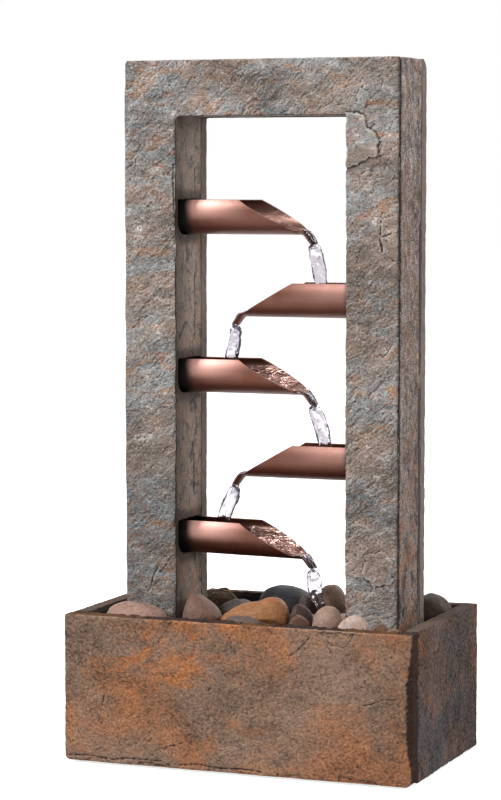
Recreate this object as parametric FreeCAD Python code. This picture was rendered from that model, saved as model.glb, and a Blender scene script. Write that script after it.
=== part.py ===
import FreeCAD, Part
from collections import namedtuple
import math
import os

# Tabletop slate water fountain: an arch of slate over a slate basin, with five
# copper spouts that pass the water from side to side, a pebble bed on a grid,
# and a small submersible pump under the grid.
#
# Frame: origin at the centre of the surface that the fountain stands on,
# +X to the right, +Y to the back, +Z up. Millimetres.

Vector = FreeCAD.Vector
X_AXIS = Vector(1, 0, 0)
Y_AXIS = Vector(0, 1, 0)
Z_AXIS = Vector(0, 0, 1)
NEAR = 0.01             # two places closer than this are the same place
CUT_OVERRUN = 1.0       # how far a cutting shape passes the face that it cuts

# ---- Fits ------------------------------------------------------------------
SEAT_GAP = 0.1          # a loose piece over the face that carries it
SLIP_GAP = 0.05         # radial gap of a plug, barb or shaft in its bore
PART_GAP = 0.3          # gap between a moving piece and what it passes
PANEL_GAP = 1.0         # gap round a grid panel that lifts out by hand

# ---- Basin -----------------------------------------------------------------
BASIN_LENGTH = 280.0
BASIN_DEPTH = 168.0
BASIN_HEIGHT = 113.0
FRONT_SLAB = 18.0
SIDE_SLAB = 12.0
BACK_SLAB = 12.0
FLOOR_SLAB = 12.0
FRONT_CORNER_RADIUS = 5.0
RIM_WEAR = 1.5
LINER_WALL = 1.5
LINER_BELOW_RIM = 3.0
CORD_NOTCH_WIDTH = 9.0
CORD_NOTCH_DEPTH = 10.0
PAD_THICKNESS = 2.0
PAD_RADIUS = 11.0
PAD_INSET = 26.0

# ---- Tower -----------------------------------------------------------------
TOWER_WIDTH = 224.0
TOWER_DEPTH = 67.0
TOWER_TOP = 537.0
LEG_WIDTH = 43.0
LINTEL_HEIGHT = 43.0
TOWER_FRONT_SLAB = 5.0
TOWER_BACK_SLAB = 12.0
STRIP = 8.0
FRONT_INSET = 1.0       # the rough front slab stands in from the side strips
FRONT_TOP_RADIUS = 4.0
BACK_TOP_RADIUS = 9.0

# ---- Spouts ----------------------------------------------------------------
SPOUT_RADIUS = 17.5
SPOUT_WALL = 1.0
SPOUT_HEIGHT = 26.7     # from the underside of the tube to its cut rims
SPOUT_AXIS_Y = 1.0
SPOUT_INSERTION = 12.0  # length of tube inside the leg
TOP_SPOUT_Z = 404.0     # underside of the highest spout
SPOUT_PITCH = 62.0
SLANT_START = 49.0      # from the leg's inner face, at the rims
SLANT_END = 91.0
SLANT_END_HEIGHT = 2.4
LIP_ROOT_HALF_WIDTH = 10.0
LIP_TIP_HALF_WIDTH = 4.5
LIP_BEND_RADIUS = 4.0
LIP_BEND_ANGLE = 52.0
NOTCH_FRONT_GAP = 8.0   # the notch in the strip is wide open at the front
NOTCH_BACK_GAP = 0.5
NOTCH_CORNER_RADIUS = 12.0
CAP_THICKNESS = 1.5
SADDLE_LENGTH = 3.5
SADDLE_DEPTH = 4.0

# One row per spout, from the top: the leg that holds it, how far it sits off
# the even pitch, how much its slanted cut is skewed, its fall towards the lip in
# degrees, and the straight length of its lip.
Spout = namedtuple("Spout", "leg off_pitch skew fall lip_length")
SPOUTS = (
    Spout("left", 0.0, 0.25, 0.0, 7.0),
    Spout("right", -1.2, 0.0, 0.0, 6.5),
    Spout("left", 1.4, 0.25, 0.0, 8.0),
    Spout("right", -1.2, 0.0, 0.0, 7.0),
    Spout("left", -0.2, 0.25, 0.8, 7.0),
)

# ---- Pebble grid -----------------------------------------------------------
GRID_TOP = 95.0
GRID_THICKNESS = 3.0
GRID_SLOT_WIDTH = 4.0
GRID_SLOT_LENGTH = 22.0
GRID_SLOT_PITCH_X = 32.0
GRID_SLOT_PITCH_Y = 11.0
GRID_EDGE = 6.0
GRID_POST_RADIUS = 7.0
GRID_POST_WALL = 1.5
GRID_POST_INSET = 4.0

# ---- Pump ------------------------------------------------------------------
PUMP_WIDTH = 40.0
PUMP_HEIGHT = 38.0
PUMP_LENGTH = 42.0
PUMP_REAR_X = -30.0
PUMP_EDGE = 4.0
FOOT_HEIGHT = 5.0
FOOT_RADIUS = 5.0
FOOT_NECK_RADIUS = 2.5
FOOT_WALL = 1.0
FOOT_HOLLOW = 2.5       # depth of the cup under a foot
FOOT_INSET = 8.0
SPIGOT_LENGTH = 5.0     # stepped front of the housing, inside the intake cover
COVER_WALL = 1.8
COVER_LENGTH = 21.0
COVER_SLOT = 2.4
COVER_SLOT_PITCH = 5.0
CHAMBER_RADIUS = 13.0
CHAMBER_DEPTH = 7.0
CHAMBER_LID_RADIUS = 15.0
CHAMBER_LID = 2.0
LID_RECESS = 6.0        # from the spigot's front face down to the lid
INLET_RADIUS = 6.0
SPOKE_WIDTH = 1.6
SPOKE_COUNT = 3
SPOKE_START = 90.0
HUB_RADIUS = 3.0
HUB_LENGTH = 3.0
SHAFT_RADIUS = 1.25
SHAFT_SEAT = 2.0
MAGNET_RADIUS = 6.0
MAGNET_LENGTH = 18.0
WELL_GAP = 0.5
WHEEL_RADIUS = 11.6
WHEEL_DISC = 1.2
BLADE_COUNT = 6
BLADE_HEIGHT = 4.0
BLADE_THICKNESS = 1.2
BLADE_ROOT_RADIUS = 3.2
END_FLOAT = 0.4         # axial play of the rotor
OUTLET_RADIUS = 4.0
OUTLET_SOCKET_DEPTH = 4.0
OUTLET_DUCT_RADIUS = 3.0
OUTLET_EDGE = 1.0       # from the outlet's side to the chamber's wall
DIAL_RADIUS = 7.0
DIAL_THICKNESS = 2.0
DIAL_LEVER = 11.0
DIAL_LEVER_WIDTH = 3.0
DIAL_PIN_RADIUS = 1.5
DIAL_HEAD_RADIUS = 2.6
DIAL_HEAD_THICKNESS = 1.0
DIAL_WINDOW_HALF_ANGLE = 32.0
DIAL_WINDOW_WEB = 1.0   # between the window and the pin's head
DIAL_WINDOW_RIM = 1.2
GLAND_RADIUS = 4.5
GLAND_LENGTH = 6.0
GLAND_SOCKET = 2.0
GLAND_EDGE = 1.0
GLAND_HEIGHT = 9.5      # from the housing's underside to the gland's axis

# ---- Water line ------------------------------------------------------------
HOSE_BORE_RADIUS = 4.5
HOSE_WALL = 1.5
BARB_BORE_RADIUS = 3.0
BARB_LENGTH = 7.5
COLLAR_RADIUS = 6.0
COLLAR_LENGTH = 6.5     # from an elbow's corner to the end of its hose
HOSE_HOLE_GAP = 1.5
INLET_ABOVE_SPOUT = 11.0    # inlet's axis above the top spout's underside

# ---- Pebbles ---------------------------------------------------------------
# The stones fill the bed from wall to wall, so their sides are counted in
# rooms. From the left, 0 is the liner's wall, 1 and 2 the legs' inner faces and
# 3 the other wall. From the front, 0 is the wall, 1 and 2 the tower's front and
# back and 3 the other wall. A height is a share of the tallest stone's. The
# girth is where the stone is thickest, from -1 at its left tip to 1 at its right
# one, and the turn is in degrees. Small stones share a node.
TALLEST_PEBBLE = 35.0
Pebble = namedtuple("Pebble", "node left right front back height girth turn")
PEBBLES = (
    Pebble("pebble_front_left", 0.11, 0.98, 0.04, 0.94, 0.77, -0.2, 2.0),
    Pebble("pebble_by_left_leg", 1.03, 1.25, 0.79, 1.38, 0.89, 0.15, 20.0),
    Pebble("pebble_saddle", 1.26, 1.67, 0.71, 1.36, 0.94, -0.1, 4.0),
    Pebble("pebble_flat_front", 1.34, 1.59, 0.05, 0.63, 0.63, -0.25, 4.0),
    Pebble("pebble_brown_front", 1.72, 1.85, 0.06, 0.71, 0.71, 0.2, -10.0),
    Pebble("pebble_dark_middle", 1.67, 1.80, 0.89, 1.25, 0.83, -0.1, 0.0),
    Pebble("pebble_tan_front", 1.85, 2.03, 0.27, 1.07, 0.89, 0.15, 6.0),
    Pebble("pebble_cream_front", 2.03, 2.47, 0.05, 0.76, 0.77, -0.2, 0.0),
    Pebble("pebble_blue_back", 1.30, 1.62, 1.87, 2.74, 0.91, 0.1, 0.0),
    Pebble("pebble_grey_middle", 1.14, 1.37, 1.47, 1.86, 0.69, 0.25, 0.0),
    Pebble("pebble_rough_back", 0.88, 1.17, 2.04, 2.58, 0.77, -0.15, -20.0),
    Pebble("pebble_tall_back", 1.66, 1.82, 1.87, 2.53, 1.00, 0.1, 0.0),
    Pebble("pebble_upright", 1.60, 1.71, 1.62, 1.89, 0.86, -0.1, 0.0),
    Pebble("pebble_right_corner", 2.47, 2.99, 2.22, 2.97, 0.86, -0.15, 0.0),
    Pebble("pebbles_back", 0.22, 0.88, 2.09, 2.91, 0.74, 0.2, 0.0),
    Pebble("pebbles_back", 1.93, 2.33, 2.15, 2.91, 0.71, 0.2, 0.0),
    Pebble("pebbles_small", 2.47, 2.71, 0.47, 0.92, 0.57, 0.15, 0.0),
    Pebble("pebbles_small", 2.68, 2.96, 0.08, 0.60, 0.54, 0.15, 0.0),
    Pebble("pebbles_small", 1.85, 1.95, 1.78, 2.09, 0.71, 0.15, 0.0),
    Pebble("pebbles_small", 1.85, 1.96, 1.37, 1.63, 0.54, 0.15, 0.0),
    Pebble("pebbles_small", 1.69, 1.83, 1.31, 1.60, 0.51, 0.15, 0.0),
    Pebble("pebbles_small", 1.39, 1.55, 1.49, 1.75, 0.54, 0.15, 0.0),
    Pebble("pebbles_small", 1.02, 1.25, 0.06, 0.68, 0.49, 0.15, 0.0),
)

# ---- Places worked out from the sizes --------------------------------------
BASE_Z = PAD_THICKNESS
RIM_Z = BASE_Z + BASIN_HEIGHT
BASIN_RIGHT = BASIN_LENGTH / 2
BASIN_BACK = BASIN_DEPTH / 2
WELL_RIGHT = BASIN_RIGHT - SIDE_SLAB
WELL_FRONT = -BASIN_BACK + FRONT_SLAB
WELL_BACK = BASIN_BACK - BACK_SLAB
LINER_FLOOR_Z = BASE_Z + FLOOR_SLAB + LINER_WALL
LINER_RIGHT = WELL_RIGHT - LINER_WALL
LINER_FRONT = WELL_FRONT + LINER_WALL
LINER_BACK = WELL_BACK - LINER_WALL

TOWER_RIGHT = TOWER_WIDTH / 2
TOWER_BACK = TOWER_DEPTH / 2
TOWER_FRONT = -TOWER_BACK
LEG_INNER = TOWER_RIGHT - LEG_WIDTH
LEG_CENTRE = LEG_INNER + LEG_WIDTH / 2
OPENING_TOP = TOWER_TOP - LINTEL_HEIGHT
STRIP_FRONT = TOWER_FRONT + TOWER_FRONT_SLAB
STRIP_BACK = TOWER_BACK - TOWER_BACK_SLAB

GRID_UNDERSIDE = GRID_TOP - GRID_THICKNESS

HOSE_RADIUS = HOSE_BORE_RADIUS + HOSE_WALL
PUMP_FRONT_X = PUMP_REAR_X + PUMP_LENGTH
PUMP_UNDERSIDE = LINER_FLOOR_Z + FOOT_HEIGHT
PUMP_TOP = PUMP_UNDERSIDE + PUMP_HEIGHT
PUMP_AXIS_Z = PUMP_UNDERSIDE + PUMP_HEIGHT / 2
OUTLET_OFFSET = CHAMBER_RADIUS - OUTLET_RADIUS - OUTLET_EDGE
PUMP_AXIS_Y = SPOUT_AXIS_Y - OUTLET_OFFSET
LID_REAR_X = PUMP_FRONT_X - LID_RECESS - CHAMBER_LID
CHAMBER_REAR_X = LID_REAR_X - CHAMBER_DEPTH
OUTLET_X = CHAMBER_REAR_X + CHAMBER_DEPTH / 2
WELL_LENGTH = MAGNET_LENGTH + 2 * END_FLOAT
WELL_REAR_X = CHAMBER_REAR_X - WELL_LENGTH
SHAFT_REAR_X = WELL_REAR_X - SHAFT_SEAT
COVER_REAR_X = PUMP_FRONT_X - SPIGOT_LENGTH + SEAT_GAP
COVER_FRONT_X = COVER_REAR_X + COVER_LENGTH
COVER_INSIDE_X = COVER_FRONT_X - COVER_WALL
GLAND_Z = PUMP_UNDERSIDE + GLAND_HEIGHT

HOSE_Z = PUMP_TOP + COLLAR_RADIUS
RISER_X = -LEG_CENTRE
INLET_Z = TOP_SPOUT_Z + INLET_ABOVE_SPOUT
BARB_RADIUS = HOSE_BORE_RADIUS - SLIP_GAP
PUMP_ELBOW_CORNER = Vector(OUTLET_X, SPOUT_AXIS_Y, HOSE_Z)
LOWER_ELBOW_CORNER = Vector(RISER_X, SPOUT_AXIS_Y, HOSE_Z)
UPPER_ELBOW_CORNER = Vector(RISER_X, SPOUT_AXIS_Y, INLET_Z)

PEBBLE_X_MARKS = (-LINER_RIGHT, -LEG_INNER, LEG_INNER, LINER_RIGHT)
PEBBLE_Y_MARKS = (LINER_FRONT, TOWER_FRONT, TOWER_BACK, LINER_BACK)


# ---- Shape helpers ---------------------------------------------------------
def block(x_span, y_span, z_span):
    """Box between a low and a high value on each axis."""
    size = [span[1] - span[0] for span in (x_span, y_span, z_span)]
    corner = Vector(x_span[0], y_span[0], z_span[0])
    return Part.makeBox(size[0], size[1], size[2], corner)


def rod(radius, start, axis, length):
    """Cylinder from a start point along an axis."""
    return Part.makeCylinder(radius, length, start, axis)


def tube(outer_radius, bore_radius, start, axis, length):
    """Open-ended tube from a start point along an axis."""
    outer = rod(outer_radius, start, axis, length)
    return outer.cut(rod(bore_radius, start, axis, length))


def extruded(points, push):
    """Solid from a closed outline of points, pushed along a vector."""
    face = Part.Face(Part.makePolygon(points + points[:1]))
    return face.extrude(push)


def fillet_where(shape, radius, wanted):
    """Round every edge whose centre and direction the test accepts."""
    edges = []
    for edge in shape.Edges:
        ends = edge.Vertexes
        if len(ends) == 2 and wanted(edge.CenterOfMass, ends[1].Point - ends[0].Point):
            edges.append(edge)
    return shape.makeFillet(radius, edges)


def mirrored(shape):
    """Copy of a left-hand piece for the right-hand leg."""
    return shape.mirror(Vector(0, 0, 0), X_AXIS)


def along(direction, axis):
    """True when an edge runs along an axis."""
    return direction.cross(axis).Length < NEAR * direction.Length


def at(value, place):
    """True when a coordinate lies at a place."""
    return abs(value - place) < NEAR


# ---- Basin -----------------------------------------------------------------
def basin_front_slab():
    """Thick riven slab across the front, rounded at its two lower corners."""
    slab = block(
        (-BASIN_RIGHT, BASIN_RIGHT),
        (-BASIN_BACK, WELL_FRONT),
        (BASE_Z, RIM_Z),
    )
    slab = fillet_where(
        slab,
        FRONT_CORNER_RADIUS,
        lambda centre, way: along(way, Y_AXIS) and at(centre.z, BASE_Z),
    )
    return fillet_where(
        slab,
        RIM_WEAR,
        lambda centre, way: along(way, X_AXIS) and at(centre.z, RIM_Z),
    )


def basin_side_slab(side):
    """Slab that butts behind the front slab, on the side -1 or 1."""
    edges = sorted((side * WELL_RIGHT, side * BASIN_RIGHT))
    slab = block(edges, (WELL_FRONT, BASIN_BACK), (BASE_Z, RIM_Z))
    return fillet_where(
        slab,
        RIM_WEAR,
        lambda centre, way: along(way, Y_AXIS) and at(centre.z, RIM_Z),
    )


def basin_back_slab():
    """Slab between the side slabs, with the cord's notch in its rim."""
    slab = block((-WELL_RIGHT, WELL_RIGHT), (WELL_BACK, BASIN_BACK), (BASE_Z, RIM_Z))
    slab = fillet_where(
        slab,
        RIM_WEAR,
        lambda centre, way: along(way, X_AXIS) and at(centre.z, RIM_Z),
    )
    half = CORD_NOTCH_WIDTH / 2
    centre_z = RIM_Z - CORD_NOTCH_DEPTH + half
    slot = block(
        (-LEG_CENTRE - half, -LEG_CENTRE + half),
        (WELL_BACK, BASIN_BACK),
        (centre_z, RIM_Z),
    )
    round_foot = rod(half, Vector(-LEG_CENTRE, WELL_BACK, centre_z), Y_AXIS, BACK_SLAB)
    return slab.cut(slot.fuse(round_foot))


def basin_floor():
    """Slab that closes the basin between its four walls."""
    return block(
        (-WELL_RIGHT, WELL_RIGHT),
        (WELL_FRONT, WELL_BACK),
        (BASE_Z, BASE_Z + FLOOR_SLAB),
    )


def basin_liner():
    """Watertight black pan against the slabs, open at the top."""
    top = RIM_Z - LINER_BELOW_RIM
    shell = block(
        (-WELL_RIGHT, WELL_RIGHT),
        (WELL_FRONT, WELL_BACK),
        (BASE_Z + FLOOR_SLAB, top),
    )
    hollow = block(
        (-LINER_RIGHT, LINER_RIGHT),
        (LINER_FRONT, LINER_BACK),
        (LINER_FLOOR_Z, top),
    )
    half = CORD_NOTCH_WIDTH / 2
    notch = block(
        (-LEG_CENTRE - half, -LEG_CENTRE + half),
        (LINER_BACK, WELL_BACK),
        (RIM_Z - CORD_NOTCH_DEPTH, top),
    )
    return shell.cut(hollow).cut(notch)


def foot_pads():
    """Four round pads under the basin's corners."""
    pads = []
    for x in (-BASIN_RIGHT + PAD_INSET, BASIN_RIGHT - PAD_INSET):
        for y in (-BASIN_BACK + PAD_INSET, BASIN_BACK - PAD_INSET):
            pads.append(rod(PAD_RADIUS, Vector(x, y, 0), Z_AXIS, PAD_THICKNESS))
    return Part.makeCompound(pads)


# ---- Tower -----------------------------------------------------------------
def arch(half_width, y_span, top):
    """Arch-shaped slab: two legs and a lintel in one piece."""
    outer = block((-half_width, half_width), y_span, (LINER_FLOOR_Z, top))
    opening = block((-LEG_INNER, LEG_INNER), y_span, (LINER_FLOOR_Z, OPENING_TOP))
    return outer.cut(opening)


def tower_front_slab():
    """Riven front slab, its two top corners over the left leg worn round."""
    slab = arch(TOWER_RIGHT - FRONT_INSET, (TOWER_FRONT, STRIP_FRONT), TOWER_TOP)
    return fillet_where(
        slab,
        FRONT_TOP_RADIUS,
        lambda centre, way: along(way, Y_AXIS) and centre.x < 0 and centre.z > RIM_Z,
    )


def tower_back_slab():
    """Thicker back slab, its top back edge worn round."""
    slab = arch(TOWER_RIGHT, (STRIP_BACK, TOWER_BACK), TOWER_TOP)
    return fillet_where(
        slab,
        BACK_TOP_RADIUS,
        lambda centre, way: at(centre.z, TOWER_TOP) and at(centre.y, TOWER_BACK),
    )


def leg_outer_strip(side):
    """Outer side of a leg, from the liner to the top."""
    edges = sorted((side * (TOWER_RIGHT - STRIP), side * TOWER_RIGHT))
    return block(edges, (STRIP_FRONT, STRIP_BACK), (LINER_FLOOR_Z, TOWER_TOP))


def spout_notch(level):
    """Notch for one spout in the left leg's inner strip: open in front."""
    low_y = SPOUT_AXIS_Y - SPOUT_RADIUS - NOTCH_FRONT_GAP
    high_y = SPOUT_AXIS_Y + SPOUT_RADIUS + NOTCH_BACK_GAP
    low_z = level - SEAT_GAP
    notch = block(
        (-LEG_INNER - STRIP, -LEG_INNER),
        (low_y, high_y),
        (low_z, level + SPOUT_HEIGHT + PART_GAP),
    )
    return fillet_where(
        notch,
        NOTCH_CORNER_RADIUS,
        lambda centre, way: along(way, X_AXIS) and at(centre.z, low_z),
    )


def spout_level(index):
    """Height of the underside of a spout where it leaves the leg."""
    return TOP_SPOUT_Z - SPOUT_PITCH * index + SPOUTS[index].off_pitch


def leg_inner_strip(leg):
    """Inner side of a leg, notched for the spouts that it holds."""
    strip = block(
        (-LEG_INNER - STRIP, -LEG_INNER),
        (STRIP_FRONT, STRIP_BACK),
        (LINER_FLOOR_Z, OPENING_TOP + STRIP),
    )
    for index, row in enumerate(SPOUTS):
        if row.leg == leg:
            strip = strip.cut(spout_notch(spout_level(index)))
    if leg == "right":
        return mirrored(strip)
    hose_hole = rod(
        HOSE_RADIUS + HOSE_HOLE_GAP,
        Vector(-LEG_INNER - STRIP, SPOUT_AXIS_Y, HOSE_Z),
        X_AXIS,
        STRIP,
    )
    return strip.cut(hose_hole)


def lintel_top_strip():
    """Strip that closes the lintel from above, between the outer strips."""
    half = TOWER_RIGHT - STRIP
    return block((-half, half), (STRIP_FRONT, STRIP_BACK), (TOWER_TOP - STRIP, TOWER_TOP))


def lintel_soffit_strip():
    """Strip that closes the lintel from below, between the inner strips."""
    return block(
        (-LEG_INNER, LEG_INNER),
        (STRIP_FRONT, STRIP_BACK),
        (OPENING_TOP, OPENING_TOP + STRIP),
    )


# ---- Spouts ----------------------------------------------------------------
# A spout is drawn with the leg's inner face at X = 0, its free end towards +X
# and its underside at Z = 0, then placed.
def trough(start_x, end_x):
    """Length of tube with its top cut away level with the rims."""
    start = Vector(start_x, SPOUT_AXIS_Y, SPOUT_RADIUS)
    bore = SPOUT_RADIUS - SPOUT_WALL
    length = end_x - start_x
    pipe = tube(SPOUT_RADIUS, bore, start, X_AXIS, length)
    reach = SPOUT_RADIUS + CUT_OVERRUN
    above = block(
        (start_x, end_x),
        (SPOUT_AXIS_Y - reach, SPOUT_AXIS_Y + reach),
        (SPOUT_HEIGHT, SPOUT_HEIGHT + reach),
    )
    return pipe.cut(above)


def slant_cutter(skew):
    """Wedge that takes the trough's end off on a slant."""
    reach = SPOUT_RADIUS + CUT_OVERRUN
    front_y = SPOUT_AXIS_Y - reach
    lean = skew * reach
    slope = (SLANT_END - SLANT_START) / (SPOUT_HEIGHT - SLANT_END_HEIGHT)
    top = SPOUT_HEIGHT + CUT_OVERRUN
    points = [
        Vector(SLANT_START - slope * CUT_OVERRUN - lean, front_y, top),
        Vector(SLANT_END - lean, front_y, SLANT_END_HEIGHT),
        Vector(SLANT_END + reach - lean, front_y, SLANT_END_HEIGHT),
        Vector(SLANT_END + reach - lean, front_y, top),
    ]
    return extruded(points, Vector(2 * lean, 2 * reach, 0))


def lip_root():
    """Curved strip of the tube's wall where the lip leaves the trough."""
    half_angle = math.asin(LIP_ROOT_HALF_WIDTH / SPOUT_RADIUS)
    rows = []
    for radius in (SPOUT_RADIUS, SPOUT_RADIUS - SPOUT_WALL):
        rows.append([
            Vector(
                SLANT_END,
                SPOUT_AXIS_Y + radius * math.sin(angle),
                SPOUT_RADIUS - radius * math.cos(angle),
            )
            for angle in (-half_angle, 0.0, half_angle)
        ])
    outer, inner = rows
    edges = [
        Part.Arc(outer[0], outer[1], outer[2]).toShape(),
        Part.makeLine(outer[2], inner[2]),
        Part.Arc(inner[2], inner[1], inner[0]).toShape(),
        Part.makeLine(inner[0], outer[0]),
    ]
    return Part.Face(Part.Wire(edges))


def lip(length):
    """Tongue left at the low end of the slant, bent down to shed the water."""
    root = lip_root()
    pivot = Vector(SLANT_END, SPOUT_AXIS_Y, -LIP_BEND_RADIUS)
    bend = root.revolve(pivot, Y_AXIS, LIP_BEND_ANGLE)
    turned = root.copy()
    turned.rotate(pivot, Y_AXIS, LIP_BEND_ANGLE)
    angle = math.radians(LIP_BEND_ANGLE)
    straight = turned.extrude(Vector(math.cos(angle), 0, -math.sin(angle)) * length)
    tongue = bend.fuse(straight)
    reach = 2 * (LIP_BEND_RADIUS + length)
    plan = [
        Vector(SLANT_END - CUT_OVERRUN, SPOUT_AXIS_Y - LIP_ROOT_HALF_WIDTH, -reach),
        Vector(SLANT_END + reach, SPOUT_AXIS_Y - LIP_TIP_HALF_WIDTH / 2, -reach),
        Vector(SLANT_END + reach, SPOUT_AXIS_Y + LIP_TIP_HALF_WIDTH / 2, -reach),
        Vector(SLANT_END - CUT_OVERRUN, SPOUT_AXIS_Y + LIP_ROOT_HALF_WIDTH, -reach),
    ]
    return tongue.common(extruded(plan, Vector(0, 0, 2 * reach)))


def placed_spout_part(shape, index):
    """Set a spout's part in its leg, at its height and fall."""
    part = shape.copy()
    part.rotate(Vector(0, SPOUT_AXIS_Y, 0), Y_AXIS, SPOUTS[index].fall)
    part.translate(Vector(-LEG_INNER, 0, spout_level(index)))
    return mirrored(part) if SPOUTS[index].leg == "right" else part


def spout(index):
    """Copper trough with a slanted end and a bent lip."""
    body = trough(-SPOUT_INSERTION, SLANT_END).cut(slant_cutter(SPOUTS[index].skew))
    whole = body.fuse(lip(SPOUTS[index].lip_length)).removeSplitter()
    return placed_spout_part(whole, index)


def end_cap(index):
    """Disc that closes a spout inside the leg; the top one takes the inlet."""
    centre = Vector(-SPOUT_INSERTION - CAP_THICKNESS, SPOUT_AXIS_Y, SPOUT_RADIUS)
    disc = rod(SPOUT_RADIUS, centre, X_AXIS, CAP_THICKNESS)
    reach = SPOUT_RADIUS + CUT_OVERRUN
    disc = disc.cut(
        block(
            (centre.x, centre.x + CAP_THICKNESS),
            (SPOUT_AXIS_Y - reach, SPOUT_AXIS_Y + reach),
            (SPOUT_HEIGHT, SPOUT_HEIGHT + reach),
        )
    )
    if index == 0:
        hole_start = Vector(centre.x, SPOUT_AXIS_Y, INLET_ABOVE_SPOUT)
        disc = disc.cut(rod(HOSE_BORE_RADIUS, hole_start, X_AXIS, CAP_THICKNESS))
    return placed_spout_part(disc, index)


def saddle(index):
    """Sealant bed under a spout, against the inner strip inside the leg."""
    bed = block(
        (-STRIP - SADDLE_LENGTH, -STRIP),
        (STRIP_FRONT + PART_GAP, STRIP_BACK - PART_GAP),
        (-SADDLE_DEPTH, SPOUT_RADIUS),
    )
    seat = rod(
        SPOUT_RADIUS + SEAT_GAP,
        Vector(-STRIP - SADDLE_LENGTH, SPOUT_AXIS_Y, SPOUT_RADIUS),
        X_AXIS,
        SADDLE_LENGTH,
    )
    bed = bed.cut(seat)
    bed.translate(Vector(-LEG_INNER, 0, spout_level(index)))
    return mirrored(bed) if SPOUTS[index].leg == "right" else bed


# ---- Pebble grid -----------------------------------------------------------
def grid_panel(half_length, y_span):
    """Slotted grid panel, centred left to right."""
    panel = block((-half_length, half_length), y_span, (GRID_UNDERSIDE, GRID_TOP))
    columns = int((half_length - GRID_EDGE - GRID_SLOT_LENGTH / 2) // GRID_SLOT_PITCH_X)
    free_depth = y_span[1] - y_span[0] - 2 * GRID_EDGE - GRID_SLOT_WIDTH
    rows = 1 + int(free_depth // GRID_SLOT_PITCH_Y)
    middle_y = (y_span[0] + y_span[1]) / 2
    slots = []
    for row in range(rows):
        y = middle_y + (row - (rows - 1) / 2) * GRID_SLOT_PITCH_Y
        for column in range(-columns, columns + 1):
            x = column * GRID_SLOT_PITCH_X
            slots.append(
                block(
                    (x - GRID_SLOT_LENGTH / 2, x + GRID_SLOT_LENGTH / 2),
                    (y - GRID_SLOT_WIDTH / 2, y + GRID_SLOT_WIDTH / 2),
                    (GRID_UNDERSIDE, GRID_TOP),
                )
            )
    return panel.cut(slots)


def grid_panel_front():
    """Grid in front of the tower, from wall to wall."""
    return grid_panel(LINER_RIGHT - PANEL_GAP, (LINER_FRONT + PANEL_GAP, TOWER_FRONT - PANEL_GAP))


def grid_panel_middle():
    """Grid between the tower's legs."""
    return grid_panel(LEG_INNER - PANEL_GAP, (TOWER_FRONT, TOWER_BACK))


def grid_panel_back():
    """Grid behind the tower, from wall to wall."""
    return grid_panel(LINER_RIGHT - PANEL_GAP, (TOWER_BACK + PANEL_GAP, LINER_BACK - PANEL_GAP))


def grid_posts():
    """Tube posts that hold the three grid panels over the water."""
    inset = GRID_POST_RADIUS + GRID_POST_INSET
    wall_x = LINER_RIGHT - inset
    wall_places = [
        (x, y)
        for x in (-wall_x, 0.0, wall_x)
        for y in (LINER_FRONT + inset, LINER_BACK - inset)
    ]
    leg_places = [
        (x, y)
        for x in (-LEG_INNER + inset, LEG_INNER - inset)
        for y in (TOWER_FRONT + inset, TOWER_BACK - inset)
    ]
    posts = [
        tube(
            GRID_POST_RADIUS,
            GRID_POST_RADIUS - GRID_POST_WALL,
            Vector(x, y, LINER_FLOOR_Z),
            Z_AXIS,
            GRID_UNDERSIDE - LINER_FLOOR_Z,
        )
        for x, y in wall_places + leg_places
    ]
    return Part.makeCompound(posts)


# ---- Pump ------------------------------------------------------------------
def pump_block(x_span, inset):
    """Rounded block on the pump's axis, set in evenly from its sides."""
    half_width = PUMP_WIDTH / 2 - inset
    body = block(
        x_span,
        (PUMP_AXIS_Y - half_width, PUMP_AXIS_Y + half_width),
        (PUMP_UNDERSIDE + inset, PUMP_TOP - inset),
    )
    return fillet_where(body, PUMP_EDGE - inset, lambda centre, way: along(way, X_AXIS))


def on_axis(x):
    """Point on the pump's axis."""
    return Vector(x, PUMP_AXIS_Y, PUMP_AXIS_Z)


def pump_housing():
    """Sealed motor housing with rotor well, chamber and outlet."""
    inset = COVER_WALL + SEAT_GAP
    rear = pump_block((PUMP_REAR_X, PUMP_FRONT_X - SPIGOT_LENGTH), 0.0)
    spigot = pump_block((PUMP_FRONT_X - SPIGOT_LENGTH, PUMP_FRONT_X), inset)
    body = rear.fuse(spigot)
    duct_foot = Vector(OUTLET_X, SPOUT_AXIS_Y, PUMP_AXIS_Z)
    socket_foot = Vector(OUTLET_X, SPOUT_AXIS_Y, PUMP_TOP - OUTLET_SOCKET_DEPTH)
    gland_seat = Vector(PUMP_REAR_X, PUMP_AXIS_Y, GLAND_Z)
    return body.cut([
        rod(CHAMBER_LID_RADIUS, on_axis(LID_REAR_X), X_AXIS, LID_RECESS + CHAMBER_LID),
        rod(CHAMBER_RADIUS, on_axis(CHAMBER_REAR_X), X_AXIS, CHAMBER_DEPTH),
        rod(MAGNET_RADIUS + WELL_GAP, on_axis(WELL_REAR_X), X_AXIS, WELL_LENGTH),
        rod(SHAFT_RADIUS + SLIP_GAP, on_axis(SHAFT_REAR_X), X_AXIS, SHAFT_SEAT),
        rod(OUTLET_DUCT_RADIUS, duct_foot, Z_AXIS, PUMP_TOP - PUMP_AXIS_Z),
        rod(OUTLET_RADIUS + SLIP_GAP, socket_foot, Z_AXIS, OUTLET_SOCKET_DEPTH),
        rod(GLAND_RADIUS, gland_seat, X_AXIS, GLAND_SOCKET),
    ])


def pump_cable_gland():
    """Moulded gland in the back of the housing, where the cord would leave."""
    start = Vector(PUMP_REAR_X - GLAND_LENGTH, PUMP_AXIS_Y, GLAND_Z)
    body = rod(GLAND_RADIUS - SLIP_GAP, start, X_AXIS, GLAND_LENGTH + GLAND_SOCKET)
    rear_edge = min(body.Edges, key=lambda edge: edge.CenterOfMass.x)
    return body.makeFillet(GLAND_EDGE, [rear_edge])


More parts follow.
